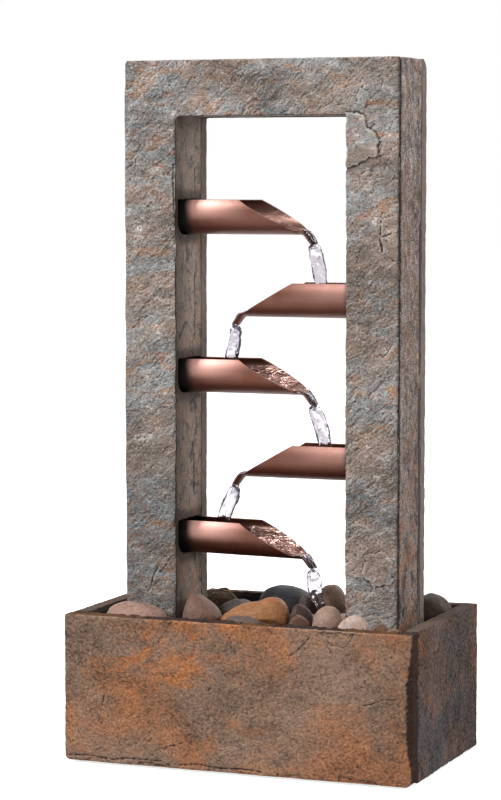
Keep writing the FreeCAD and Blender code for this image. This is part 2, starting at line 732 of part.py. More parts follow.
def pump_feet():
    """Four suction feet that hold the pump on the liner."""
    feet = []
    for x in (PUMP_REAR_X + FOOT_INSET, PUMP_FRONT_X - SPIGOT_LENGTH - FOOT_INSET):
        for side in (-1, 1):
            y = PUMP_AXIS_Y + side * (PUMP_WIDTH / 2 - FOOT_INSET)
            foot = Vector(x, y, LINER_FLOOR_Z)
            cup = Part.makeCone(FOOT_RADIUS, FOOT_NECK_RADIUS, FOOT_HEIGHT, foot, Z_AXIS)
            hollow = Part.makeCone(FOOT_RADIUS - FOOT_WALL, 0, FOOT_HOLLOW, foot, Z_AXIS)
            feet.append(cup.cut(hollow))
    return Part.makeCompound(feet)


def pump_chamber_lid():
    """Lid of the impeller chamber: an inlet eye with three spokes to a hub."""
    lid = rod(CHAMBER_LID_RADIUS - SLIP_GAP, on_axis(LID_REAR_X), X_AXIS, CHAMBER_LID)
    lid = lid.cut(rod(INLET_RADIUS, on_axis(LID_REAR_X), X_AXIS, CHAMBER_LID))
    hub = rod(HUB_RADIUS, on_axis(LID_REAR_X), X_AXIS, HUB_LENGTH)
    for number in range(SPOKE_COUNT):
        spoke = block(
            (LID_REAR_X, LID_REAR_X + CHAMBER_LID),
            (PUMP_AXIS_Y, PUMP_AXIS_Y + (INLET_RADIUS + CHAMBER_LID_RADIUS) / 2),
            (PUMP_AXIS_Z - SPOKE_WIDTH / 2, PUMP_AXIS_Z + SPOKE_WIDTH / 2),
        )
        spoke.rotate(on_axis(0), X_AXIS, SPOKE_START + number * 360.0 / SPOKE_COUNT)
        hub = hub.fuse(spoke)
    shaft_seat = rod(SHAFT_RADIUS + SLIP_GAP, on_axis(LID_REAR_X), X_AXIS, SHAFT_SEAT)
    return lid.fuse(hub).cut(shaft_seat).removeSplitter()


def pump_shaft():
    """Ceramic shaft held in the housing's well and in the lid's hub."""
    length = LID_REAR_X + SHAFT_SEAT - SHAFT_REAR_X
    return rod(SHAFT_RADIUS, on_axis(SHAFT_REAR_X), X_AXIS, length)


def pump_rotor():
    """Magnet rotor with a bladed wheel, running free on the shaft."""
    magnet_start = CHAMBER_REAR_X - END_FLOAT - MAGNET_LENGTH
    rotor = rod(MAGNET_RADIUS, on_axis(magnet_start), X_AXIS, MAGNET_LENGTH + 2 * END_FLOAT)
    disc_x = CHAMBER_REAR_X + END_FLOAT
    rotor = rotor.fuse(rod(WHEEL_RADIUS, on_axis(disc_x), X_AXIS, WHEEL_DISC))
    blade_x = disc_x + WHEEL_DISC
    rotor = rotor.fuse(rod(BLADE_ROOT_RADIUS, on_axis(blade_x), X_AXIS, BLADE_HEIGHT))
    for number in range(BLADE_COUNT):
        blade = block(
            (blade_x, blade_x + BLADE_HEIGHT),
            (PUMP_AXIS_Y - BLADE_THICKNESS / 2, PUMP_AXIS_Y + BLADE_THICKNESS / 2),
            (PUMP_AXIS_Z, PUMP_AXIS_Z + WHEEL_RADIUS - BLADE_THICKNESS / 2),
        )
        blade.rotate(on_axis(0), X_AXIS, number * 360.0 / BLADE_COUNT)
        rotor = rotor.fuse(blade)
    length = blade_x + BLADE_HEIGHT - magnet_start
    bore = rod(SHAFT_RADIUS + SLIP_GAP, on_axis(magnet_start), X_AXIS, length)
    return rotor.cut(bore).removeSplitter()


def pump_intake_cover():
    """Slotted cover that pulls off the housing's spigot for cleaning."""
    cover = pump_block((COVER_REAR_X, COVER_FRONT_X), 0.0)
    cover = cover.cut(pump_block((COVER_REAR_X, COVER_INSIDE_X), COVER_WALL))
    height = (PUMP_UNDERSIDE + PUMP_EDGE, PUMP_TOP - PUMP_EDGE)
    half_width = PUMP_WIDTH / 2
    cuts = [dial_window(COVER_INSIDE_X, COVER_WALL)]
    cuts.append(rod(DIAL_PIN_RADIUS + SLIP_GAP, on_axis(COVER_INSIDE_X), X_AXIS, COVER_WALL))
    offset = DIAL_RADIUS + COVER_SLOT
    while offset + COVER_SLOT < half_width - PUMP_EDGE:
        for edge in (PUMP_AXIS_Y + offset, PUMP_AXIS_Y - offset - COVER_SLOT):
            cuts.append(block((COVER_INSIDE_X, COVER_FRONT_X), (edge, edge + COVER_SLOT), height))
        offset += COVER_SLOT_PITCH
    x = PUMP_FRONT_X + COVER_SLOT
    while x + COVER_SLOT < COVER_INSIDE_X:
        across = (PUMP_AXIS_Y - half_width, PUMP_AXIS_Y + half_width)
        cuts.append(block((x, x + COVER_SLOT), across, height))
        x += COVER_SLOT_PITCH
    return cover.cut(cuts)


def dial_window(x, thickness):
    """Fan-shaped window, as cut in both the dial and the cover behind it."""
    half = math.radians(DIAL_WINDOW_HALF_ANGLE)
    inner = DIAL_HEAD_RADIUS + DIAL_WINDOW_WEB
    outer = DIAL_RADIUS - DIAL_WINDOW_RIM
    points = []
    for radius, way in ((inner, -1), (inner, 1), (outer, 1), (outer, -1)):
        points.append(
            Vector(
                x,
                PUMP_AXIS_Y + way * radius * math.sin(half),
                PUMP_AXIS_Z + radius * math.cos(half),
            )
        )
    return extruded(points, Vector(thickness, 0, 0))


def pump_flow_dial():
    """Dial with a lever and a window, on a headed pin through the cover."""
    dial_x = COVER_FRONT_X + PART_GAP
    dial = rod(DIAL_RADIUS, on_axis(dial_x), X_AXIS, DIAL_THICKNESS)
    lever = block(
        (dial_x, dial_x + DIAL_THICKNESS),
        (PUMP_AXIS_Y - DIAL_LEVER_WIDTH / 2, PUMP_AXIS_Y + DIAL_LEVER_WIDTH / 2),
        (PUMP_AXIS_Z - DIAL_LEVER, PUMP_AXIS_Z),
    )
    dial = dial.fuse(lever).cut(dial_window(dial_x, DIAL_THICKNESS))
    head_x = COVER_INSIDE_X - PART_GAP - DIAL_HEAD_THICKNESS
    pin = rod(DIAL_PIN_RADIUS, on_axis(head_x), X_AXIS, dial_x - head_x)
    head = rod(DIAL_HEAD_RADIUS, on_axis(head_x), X_AXIS, DIAL_HEAD_THICKNESS)
    return dial.fuse(pin).fuse(head).removeSplitter()


# ---- Water line ------------------------------------------------------------
def elbow(corner, arms):
    """Hose elbow: each arm has a direction, lengths of collar and barb, a radius."""
    body = Part.makeSphere(COLLAR_RADIUS, corner)
    bore = Part.makeSphere(BARB_BORE_RADIUS, corner)
    for way, collar, barb, radius in arms:
        body = body.fuse(rod(COLLAR_RADIUS, corner, way, collar))
        body = body.fuse(rod(radius, corner, way, collar + barb))
        bore = bore.fuse(rod(BARB_BORE_RADIUS, corner, way, collar + barb))
    return body.cut(bore).removeSplitter()


def pump_elbow():
    """Elbow that turns the pump's outlet towards the left leg."""
    plug = OUTLET_SOCKET_DEPTH - SEAT_GAP
    arms = (
        (-Z_AXIS, HOSE_Z - PUMP_TOP, plug, OUTLET_RADIUS),
        (-X_AXIS, COLLAR_LENGTH, BARB_LENGTH, BARB_RADIUS),
    )
    return elbow(PUMP_ELBOW_CORNER, arms)


def riser_elbow(corner, ways):
    """Elbow inside the left leg, with a hose barb each way."""
    arms = [(way, COLLAR_LENGTH, BARB_LENGTH, BARB_RADIUS) for way in ways]
    return elbow(corner, arms)


def supply_hose():
    """Clear hose from the pump's elbow through the strip into the left leg."""
    start = LOWER_ELBOW_CORNER + X_AXIS * COLLAR_LENGTH
    length = PUMP_ELBOW_CORNER.x - COLLAR_LENGTH - start.x
    return tube(HOSE_RADIUS, HOSE_BORE_RADIUS, start, X_AXIS, length)


def riser_tube():
    """Clear tube up the hollow left leg."""
    start = LOWER_ELBOW_CORNER + Z_AXIS * COLLAR_LENGTH
    length = UPPER_ELBOW_CORNER.z - COLLAR_LENGTH - start.z
    return tube(HOSE_RADIUS, HOSE_BORE_RADIUS, start, Z_AXIS, length)


# ---- Pebbles ---------------------------------------------------------------
def bed_place(marks, rooms):
    """Place that many rooms along a row of marks."""
    room = min(int(rooms), len(marks) - 2)
    return marks[room] + (rooms - room) * (marks[room + 1] - marks[room])


def pebble(row):
    """River pebble: an egg-shaped stone lying on the grid."""
    left = bed_place(PEBBLE_X_MARKS, row.left)
    right = bed_place(PEBBLE_X_MARKS, row.right)
    front = bed_place(PEBBLE_Y_MARKS, row.front)
    back = bed_place(PEBBLE_Y_MARKS, row.back)
    half_length, half_width = (right - left) / 2, (back - front) / 2
    half_height = row.height * TALLEST_PEBBLE / 2
    ends = []
    for side, reach in ((-1, 1 + row.girth), (1, 1 - row.girth)):
        stretch = FreeCAD.Matrix()
        stretch.scale(half_length * reach, half_width, half_height)
        end = Part.makeSphere(1.0, Vector(0, 0, 0), X_AXIS * side, 0, 90, 360)
        ends.append(end.transformGeometry(stretch))
    stone = ends[0].fuse(ends[1])
    stone.translate(X_AXIS * (row.girth * half_length))
    stone.rotate(Vector(0, 0, 0), Z_AXIS, row.turn)
    middle_z = GRID_TOP + SEAT_GAP + half_height
    stone.translate(Vector((left + right) / 2, (front + back) / 2, middle_z))
    return stone


def pebbles(node):
    """All stones of one node."""
    stones = [pebble(row) for row in PEBBLES if row.node == node]
    return stones[0] if len(stones) == 1 else Part.makeCompound(stones)


# ---- Assembly --------------------------------------------------------------
def all_parts():
    """Every node's name with its shape."""
    parts = {
        "basin_front_slab": basin_front_slab(),
        "basin_left_slab": basin_side_slab(-1),
        "basin_right_slab": basin_side_slab(1),
        "basin_back_slab": basin_back_slab(),
        "basin_floor": basin_floor(),
        "basin_liner": basin_liner(),
        "foot_pads": foot_pads(),
        "grid_panel_front": grid_panel_front(),
        "grid_panel_middle": grid_panel_middle(),
        "grid_panel_back": grid_panel_back(),
        "grid_posts": grid_posts(),
        "tower_front_slab": tower_front_slab(),
        "tower_back_slab": tower_back_slab(),
        "left_leg_outer_strip": leg_outer_strip(-1),
        "right_leg_outer_strip": leg_outer_strip(1),
        "left_leg_inner_strip": leg_inner_strip("left"),
        "right_leg_inner_strip": leg_inner_strip("right"),
        "lintel_top_strip": lintel_top_strip(),
        "lintel_soffit_strip": lintel_soffit_strip(),
        "pump_housing": pump_housing(),
        "pump_cable_gland": pump_cable_gland(),
        "pump_feet": pump_feet(),
        "pump_chamber_lid": pump_chamber_lid(),
        "pump_shaft": pump_shaft(),
        "pump_rotor": pump_rotor(),
        "pump_intake_cover": pump_intake_cover(),
        "pump_flow_dial": pump_flow_dial(),
        "pump_elbow": pump_elbow(),
        "supply_hose": supply_hose(),
        "riser_lower_elbow": riser_elbow(LOWER_ELBOW_CORNER, (X_AXIS, Z_AXIS)),
        "riser_tube": riser_tube(),
        "riser_upper_elbow": riser_elbow(UPPER_ELBOW_CORNER, (X_AXIS, -Z_AXIS)),
    }
    for index in range(len(SPOUTS)):
        parts["spout_%d" % (index + 1)] = spout(index)
    parts["spout_1_inlet_cap"] = end_cap(0)
    parts["spout_end_caps"] = Part.makeCompound(
        [end_cap(index) for index in range(1, len(SPOUTS))]
    )
    parts["spout_saddles"] = Part.makeCompound(
        [saddle(index) for index in range(len(SPOUTS))]
    )
    for node in dict.fromkeys(row.node for row in PEBBLES):
        parts[node] = pebbles(node)
    return parts


os.makedirs("parts", exist_ok=True)
for node_name, node_shape in all_parts().items():
    node_shape.exportStep(os.path.join("parts", node_name + ".step"))
    print(node_name, node_shape.isValid(), round(node_shape.Volume, 1), len(node_shape.Solids))
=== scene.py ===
"""Looks of a tiered tabletop fountain in slate and copper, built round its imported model.

An arch of riven slate stands in a slate basin, five copper spouts leave its legs in turn, water
runs from spout to spout onto a bed of river pebbles, and a small pump feeds the top spout. The
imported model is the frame: pieces take their places from its boxes. The frame is in metres with +Z
up, and sizes whose comment says so are in millimetres.
"""
import logging
import math
import random
from collections.abc import Callable, Iterable
from dataclasses import dataclass, replace
from enum import Enum

import bmesh
import bpy
import numpy as np
from bmesh.types import BMEdge, BMesh, BMLayerItem, BMVert
from bpy.types import Material, NodeSocket, NodeTree
from mathutils import Matrix, Vector, noise


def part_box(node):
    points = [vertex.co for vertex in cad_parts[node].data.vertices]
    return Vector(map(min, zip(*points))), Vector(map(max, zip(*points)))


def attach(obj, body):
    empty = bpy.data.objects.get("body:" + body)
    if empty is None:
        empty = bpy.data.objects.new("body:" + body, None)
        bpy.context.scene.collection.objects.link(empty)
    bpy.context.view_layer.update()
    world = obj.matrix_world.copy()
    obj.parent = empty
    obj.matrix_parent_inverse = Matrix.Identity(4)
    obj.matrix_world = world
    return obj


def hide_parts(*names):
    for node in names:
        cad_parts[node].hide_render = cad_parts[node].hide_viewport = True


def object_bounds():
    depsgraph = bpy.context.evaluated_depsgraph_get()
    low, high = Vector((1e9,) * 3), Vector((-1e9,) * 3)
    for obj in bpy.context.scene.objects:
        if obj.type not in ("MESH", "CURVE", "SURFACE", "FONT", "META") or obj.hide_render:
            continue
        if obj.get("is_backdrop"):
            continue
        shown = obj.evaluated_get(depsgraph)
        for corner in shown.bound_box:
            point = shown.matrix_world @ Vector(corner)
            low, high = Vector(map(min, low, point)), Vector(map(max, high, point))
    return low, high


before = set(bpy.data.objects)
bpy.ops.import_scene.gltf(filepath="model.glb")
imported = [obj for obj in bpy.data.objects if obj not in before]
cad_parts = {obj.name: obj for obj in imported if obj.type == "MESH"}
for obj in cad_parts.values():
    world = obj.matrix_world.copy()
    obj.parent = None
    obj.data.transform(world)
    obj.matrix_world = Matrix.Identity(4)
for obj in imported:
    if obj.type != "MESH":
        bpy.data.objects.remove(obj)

LOG = logging.getLogger("fountain")
MM = 0.001
FIXED_BODY = "fountain"
TROUGH_HEIGHT = 26.7     # millimetres
SMALL_STONE = 0.04       # metres across, below which a stone has fewer faces
NOISE_SEED = 1           # the vector noise takes the clock's time without one

Colour = tuple[float, float, float, float]
Point = tuple[float, float]
Four = tuple[float, float, float, float]
Triple = tuple[float, float, float]


# ---- Small helpers ---------------------------------------------------------
def srgb(red: int, green: int, blue: int) -> Colour:
    """Linear colour of three 8-bit display values.

    Args:
        red: red from 0 to 255.
        green: green from 0 to 255.
        blue: blue from 0 to 255.

    Returns:
        The colour as linear values with full alpha.
    """
    def linear(value: float) -> float:
        """Linear light of one display value from 0 to 1."""
        return value / 12.92 if value <= 0.04045 else ((value + 0.055) / 1.055) ** 2.4

    return (linear(red / 255), linear(green / 255), linear(blue / 255), 1.0)


def scaled(colour: Colour, factor: float, lift: float = 0.0) -> Colour:
    """A colour times a factor, lifted a little, and no brighter than white."""
    return tuple(min(1.0, value * factor + lift) for value in colour[:3]) + (1.0,)


def smooth_step(low: float, high: float, value: float) -> float:
    """Rise from 0 at low to 1 at high with level ends."""
    share = min(1.0, max(0.0, (value - low) / (high - low)))
    return share * share * (3.0 - 2.0 * share)


def fractal(x: float, y: float, z: float, falloff: float, ratio: float, octaves: int) -> float:
    """Fractal noise of about -0.8 to 0.8 at a place."""
    return noise.fractal(Vector((x, y, z)), falloff, ratio, octaves)


def half_range(value: float) -> float:
    """A noise value from about -0.8 to 0.8 as 0 to 1."""
    return min(1.0, max(0.0, 0.5 + value * 0.6))


def box_mm(node: str) -> tuple[Vector, Vector]:
    """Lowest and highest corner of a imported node, in millimetres."""
    low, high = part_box(node)
    return low / MM, high / MM


def extent(points: Iterable[Vector]) -> tuple[Vector, Vector]:
    """Lowest and highest corner of the box round some points."""
    axes = list(zip(*points))
    return Vector([min(axis) for axis in axes]), Vector([max(axis) for axis in axes])


def grown(bm: BMesh, edges: list[BMEdge]) -> tuple[list[BMVert], list[BMEdge]]:
    """Extrude a line of edges in place.

    Args:
        bm: the shape.
        edges: the line of edges.

    Returns:
        The new line's points and edges.
    """
    made = bmesh.ops.extrude_edge_only(bm, edges=edges)["geom"]
    verts = [item for item in made if isinstance(item, BMVert)]
    ahead = set(verts)
    line = [item for item in made if isinstance(item, BMEdge) and ahead.issuperset(item.verts)]
    return verts, line


def finished(
    name: str, bm: BMesh, material: Material, nodes: Iterable[str] = (),
    sharp: float = 45.0,
) -> None:
    """Make a built shape a smooth piece at the origin that rides on the fixed body.

    Args:
        name: the piece's name.
        bm: its shape in metres, which is freed.
        material: its material.
        nodes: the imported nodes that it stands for.
        sharp: edges that turn by more than this many degrees stay sharp.
    """
    mesh = bpy.data.meshes.new(name)
    bm.to_mesh(mesh)
    bm.free()
    mesh.polygons.foreach_set("use_smooth", [True] * len(mesh.polygons))
    mesh.set_sharp_from_angle(angle=math.radians(sharp))
    mesh.materials.append(material)
    piece = bpy.data.objects.new(name, mesh)
    bpy.context.scene.collection.objects.link(piece)
    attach(piece, FIXED_BODY)
    if nodes:
        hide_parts(*nodes)
    LOG.info("built %s, %d faces", name, len(mesh.polygons))


def dressed(material: Material, *nodes: str) -> None:
    """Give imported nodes, whose shapes stay, their material.

    Args:
        material: the material.
        nodes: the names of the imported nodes.
    """
    for node in nodes:
        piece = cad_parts[node]
        piece.data.materials.clear()
        piece.data.materials.append(material)
        LOG.info("dressed %s", node)


# ---- Node trees ------------------------------------------------------------
@dataclass(frozen=True, eq=False)
class Output:
    """A node's output. Plain arithmetic signs on it lay out Math nodes."""

    graph: "Graph"
    socket: NodeSocket

    def __add__(self, other: object) -> "Output":
        """Sum of this and a number or an output."""
        return self.graph.math("ADD", self, other)

    def __sub__(self, other: object) -> "Output":
        """This less a number or an output."""
        return self.graph.math("SUBTRACT", self, other)

    def __rsub__(self, other: float) -> "Output":
        """A number less this."""
        return self.graph.math("SUBTRACT", other, self)

    def __mul__(self, other: object) -> "Output":
        """Product of this and a number or an output."""
        return self.graph.math("MULTIPLY", self, other)

    def __pow__(self, power: float) -> "Output":
        """This raised to a power."""
        return self.graph.math("POWER", self, power)


class Graph:
    """Short calls that lay out one material's or one group's nodes."""

    def __init__(self, tree: NodeTree) -> None:
        """Start on a tree, with nothing in it."""
        self.tree = tree
        tree.nodes.clear()

    def put(self, socket: NodeSocket, value: object) -> None:
        """Link an output into a socket, or set a plain value on it.

        Args:
            socket: the socket that takes it.
            value: an output or a plain value, or None to leave the socket as it is.
        """
        if isinstance(value, Output):
            self.tree.links.new(value.socket, socket)
        elif value is not None:
            socket.default_value = value

    def lay(
        self, kind: str, inputs: dict[int | str, object], wanted: int | str = 0, **settings: object
    ) -> Output:
        """Add a node.

        Args:
            kind: the node's kind, without the words that all kinds start with.
            inputs: what goes into its inputs, by name or number.
            wanted: the output that is needed.
            settings: its own properties.

        Returns:
            The wanted output.
        """
        made = self.tree.nodes.new("ShaderNode" + kind)
        for name, value in settings.items():
            setattr(made, name, value)
        for name, value in inputs.items():
            self.put(made.inputs[name], value)
        return Output(self, made.outputs[wanted])

    def end(self, kind: str, shader: Output) -> None:
        """Link a shader into the tree's last node, Material or World."""
        self.put(self.tree.nodes.new("ShaderNodeOutput" + kind).inputs["Surface"], shader)

    def noise(
        self, vector: Output, scale: object, detail: float, roughness: float = 0.55,
        distortion: float = 0.0,
    ) -> Output:
        """Fractal noise from 0 to 1 at a number of features per metre."""
        return self.lay("TexNoise", {
            "Vector": vector, "Scale": scale, "Detail": detail, "Roughness": roughness,
            "Distortion": distortion,
        })

    def span(
        self, value: Output, low: object, high: object, to_low: float = 0.0, to_high: float = 1.0
    ) -> Output:
        """Smooth rise from to_low to to_high as a value goes from low to high."""
        return self.lay("MapRange", {
            "Value": value, "From Min": low, "From Max": high, "To Min": to_low, "To Max": to_high,
        }, interpolation_type="SMOOTHSTEP")

    def math(self, way: str, first: object, second: object = 0.0) -> Output:
        """Arithmetic on one or two numbers."""
        return self.lay("Math", {0: first, 1: second}, operation=way)

    def mix(self, share: object, first: object, second: object, way: str = "MIX") -> Output:
        """Blend of two colours."""
        inputs = {0: share, 6: first, 7: second}
        return self.lay("Mix", inputs, 2, data_type="RGBA", blend_type=way)

    def tinted(self, colour: object, tone: Output) -> Output:
        """A colour made lighter or darker by a factor."""
        shade = self.lay("CombineColor", {0: tone, 1: tone, 2: tone})
        return self.mix(1.0, colour, shade, "MULTIPLY")

    def uneven(
        self, colour: object, layers: tuple[tuple[Output, object], ...], contrast: object,
        least: float = 0.25,
    ) -> Output:
        """Make a colour's tone uneven.

        Args:
            colour: the colour.
            layers: noises from 0 to 1, each with its weight.
            contrast: the strength of them all.
            least: the darkest tone.

        Returns:
            The uneven colour.
        """
        total = None
        for layer, weight in layers:
            part = (layer - 0.5) * weight
            total = part if total is None else total + part
        return self.tinted(colour, self.math("MAXIMUM", total * contrast + 1.0, least))

    def mapped(
        self, turn: Triple = (0.0, 0.0, 0.0), stretch: Triple = (1.0, 1.0, 1.0),
        shift: Triple = (0.0, 0.0, 0.0),
    ) -> Output:
        """Object coordinates, turned by degrees, stretched and shifted."""
        return self.lay("Mapping", {
            "Vector": self.lay("TexCoord", {}, "Object"), "Location": shift,
            "Rotation": [math.radians(angle) for angle in turn], "Scale": stretch,
        }, vector_type="POINT")

    def axes(self, vector: Output) -> tuple[Output, ...]:
        """X, Y and Z of a vector."""
        made = self.lay("SeparateXYZ", {0: vector}).socket.node
        return tuple(Output(self, socket) for socket in made.outputs)

    def facing(self) -> tuple[Output, ...]:
        """X, Y and Z of the surface's own direction."""
        return self.axes(self.lay("NewGeometry", {}, "Normal"))

    def attribute(self, name: str) -> Output:
        """A number kept on the mesh's points."""
        return self.lay("Attribute", {}, "Fac", attribute_name=name)

    def bump(
        self, height: Output, distance: float, strength: float = 1.0, normal: Output | None = None
    ) -> Output:
        """Surface relief from a height, with its full depth in metres, on top of other relief."""
        return self.lay("Bump", {
            "Distance": distance, "Strength": strength, "Height": height, "Normal": normal,
        })

    def group(self, shared: NodeTree, finish: object = None, **values: object) -> dict[str, Output]:
        """Place a shared group.

        Args:
            shared: the group's node tree.
            finish: gives what the values leave out, from fields named like the inputs.
            values: what goes into its inputs, named with _ for a space.

        Returns:
            Its outputs by name.
        """
        made = self.lay("Group", {}, node_tree=shared).socket.node
        for socket in made.inputs:
            name = socket.name.replace(" ", "_")
            self.put(socket, values[name] if name in values else getattr(finish, name.lower()))
        return {socket.name: Output(self, socket) for socket in made.outputs}

    def surface(self, **values: object) -> None:
        """Close the material with a Principled surface, its sockets named with _ for a space."""
        inputs = {name.replace("_", " "): value for name, value in values.items()}
        self.end("Material", self.lay("BsdfPrincipled", inputs))


def shared_group(
    name: str, takes: dict[str, str], gives: dict[str, str],
    fill: Callable[[Graph, dict[str, Output]], dict[str, Output]],
) -> NodeTree:
    """Build a shader group once and hand out the same one afterwards.

    Args:
        name: the group's name.
        takes: its inputs of each kind, Float, Color or Vector, with commas between their names.
        gives: its outputs of each kind.
        fill: lays out the nodes and returns what goes to each output.

    Returns:
        The group's node tree.
    """
    known = bpy.data.node_groups.get(name)
    if known is not None:
        return known
    tree = bpy.data.node_groups.new(name, "ShaderNodeTree")
    for way, sockets in (("INPUT", takes), ("OUTPUT", gives)):
        for kind, labels in sockets.items():
            for label in labels.split(", "):
                tree.interface.new_socket(label, in_out=way, socket_type="NodeSocket" + kind)
    graph = Graph(tree)
    entry = tree.nodes.new("NodeGroupInput")
    leave = tree.nodes.new("NodeGroupOutput")
    given = {socket.name: Output(graph, socket) for socket in entry.outputs}
    for label, output in fill(graph, given).items():
        graph.put(leave.inputs[label], output)
    return tree


def stone_mottle() -> NodeTree:
    """Patches, stains, bleached patches and grain of a natural stone face.

    Returns:
        The shared group's node tree.
    """
    def fill(g: Graph, s: dict[str, Output]) -> dict[str, Output]:
        """Lay out the layers from broad patches to fine grain."""
        where, scale = s["Vector"], s["Patches"]
        broad = g.noise(where, scale, 6.0, 0.66, 0.5)
        middle = g.noise(where, scale * 2.6, 8.0, 0.72, 0.9)
        other = g.noise(where, scale * 4.3, 7.0, 0.74, 0.6)
        close = g.noise(where, scale * 12.0, 5.0, 0.72, 0.4)
        fine = g.noise(where, scale * 38.0, 3.0, 0.66)
        tide = g.noise(where, scale * 0.55, 3.0, 0.6, 0.6)
        sunk = g.attribute("hollow") - 0.5
        colour = g.mix(g.span(broad, 0.40, 0.60), s["Ground"], s["Second"])
        rusty = middle + (broad - 0.5) * -0.4 + sunk * 0.22 + (close - 0.5) * 0.25
        stain_from = 0.70 - s["Stain Share"] * 0.36
        stained = g.span(rusty, stain_from, stain_from + 0.20)
        colour = g.mix(stained * 0.85, colour, s["Stain"])
        pale_from = 0.75 - s["Pale Share"] * 0.36
        bleached = g.span(other - sunk * 0.15, pale_from, pale_from + 0.16)
        colour = g.mix(bleached * 0.7, colour, s["Pale"])
        dusk = g.span(other + close * 0.3, 0.60, 0.45)
        colour = g.mix(dusk * s["Dark Share"], colour, s["Dark"])
        layers = ((fine, s["Grit"]), (close, 0.55), (other, 1.1), (middle, 0.7), (tide, 1.5))
        colour = g.uneven(colour, layers, s["Contrast"])
        return {"Color": colour, "Height": middle * 0.6 + fine * 0.4, "Fine": fine, "Close": close}

    takes = {
        "Vector": "Vector", "Color": "Ground, Second, Stain, Pale, Dark",
        "Float": "Patches, Stain Share, Pale Share, Dark Share, Contrast, Grit",
    }
    gives = {"Color": "Color", "Float": "Height, Fine, Close"}
    return shared_group("stone_mottle", takes, gives, fill)


def cleft_relief() -> NodeTree:
    """Height of small broken flakes: leaning steps with sharp fronts, 0 to 1.

    Returns:
        The shared group's node tree.
    """
    def fill(g: Graph, s: dict[str, Output]) -> dict[str, Output]:
        """Break a noise into steps."""
        level = g.noise(s["Vector"], s["Scale"], 4.0, 0.62, 0.7) * s["Steps"]
        whole, part = g.math("FLOOR", level), g.math("FRACT", level)
        height = whole + (g.span(part, 0.72, 1.0) * 0.65 + part * 0.35)
        return {
            "Height": g.math("DIVIDE", height, s["Steps"]), "Front": g.span(part, 0.70, 0.86),
        }

    takes = {"Vector": "Vector", "Float": "Scale, Steps"}
    return shared_group("cleft_relief", takes, {"Float": "Height, Front"}, fill)


def stone_wear() -> NodeTree:
    """Painted shade in hollows and cracks, painted highlight on ridges, and the colour of a cut edge.

    Returns:
        The shared group's node tree.
    """
    def fill(g: Graph, s: dict[str, Output]) -> dict[str, Output]:
        """Read the mesh's own hollow, line and cut values."""
        hollow = g.attribute("hollow")
        # painted shade in hollows, painted highlight on ridges, painted shade in cracks
        colour = g.mix(g.span(hollow, 0.52, 0.95) * s["Depth"], s["Color"], s["Shadow"])
        colour = g.mix(g.span(hollow, 0.47, 0.12) * s["Ridge"], colour, s["Light"])
        colour = g.mix(g.span(g.attribute("line"), 0.35, 0.9), colour, s["Shadow"])
        return {"Color": g.mix(g.attribute("cut") * s["Cut Share"], colour, s["Cut"])}

    takes = {"Color": "Color, Shadow, Light, Cut", "Float": "Depth, Ridge, Cut Share"}
    return shared_group("stone_wear", takes, {"Color": "Color"}, fill)


def fine_speckle() -> NodeTree:
    """Small dark and light grains scattered over a base colour.

    Returns:
        The shared group's node tree.
    """
    def fill(g: Graph, s: dict[str, Output]) -> dict[str, Output]:
        """Lay dark and light specks by two noises."""
        one = g.noise(s["Vector"], s["Scale"], 2.0, 0.5)
        two = g.noise(s["Vector"], s["Scale"] * 1.9, 2.0, 0.5, 0.4)
        colour = g.mix(g.span(one, 0.60, 0.70) * s["Amount"], s["Color"], s["Dark"])
        colour = g.mix(g.span(two, 0.62, 0.72) * s["Amount"], colour, s["Light"])
        return {"Color": colour, "Grain": one}

    takes = {"Vector": "Vector", "Float": "Scale, Amount", "Color": "Color, Dark, Light"}
    return shared_group("fine_speckle", takes, {"Color": "Color", "Float": "Grain"}, fill)


# ---- Finishes --------------------------------------------------------------
@dataclass(frozen=True)
class Finish:
    """What all finishes share."""

    name: str

    def material(self) -> Material:
        """Build the finish's material.

        Returns:
            The new material.
        """
        material = bpy.data.materials.new(self.name)
        material.use_nodes = True
        self.lay_out(Graph(material.node_tree))
        return material

    def lay_out(self, g: Graph) -> None:
        """Lay out the nodes; every finish has its own.

        Args:
            g: the material's empty graph.
        """
        raise NotImplementedError


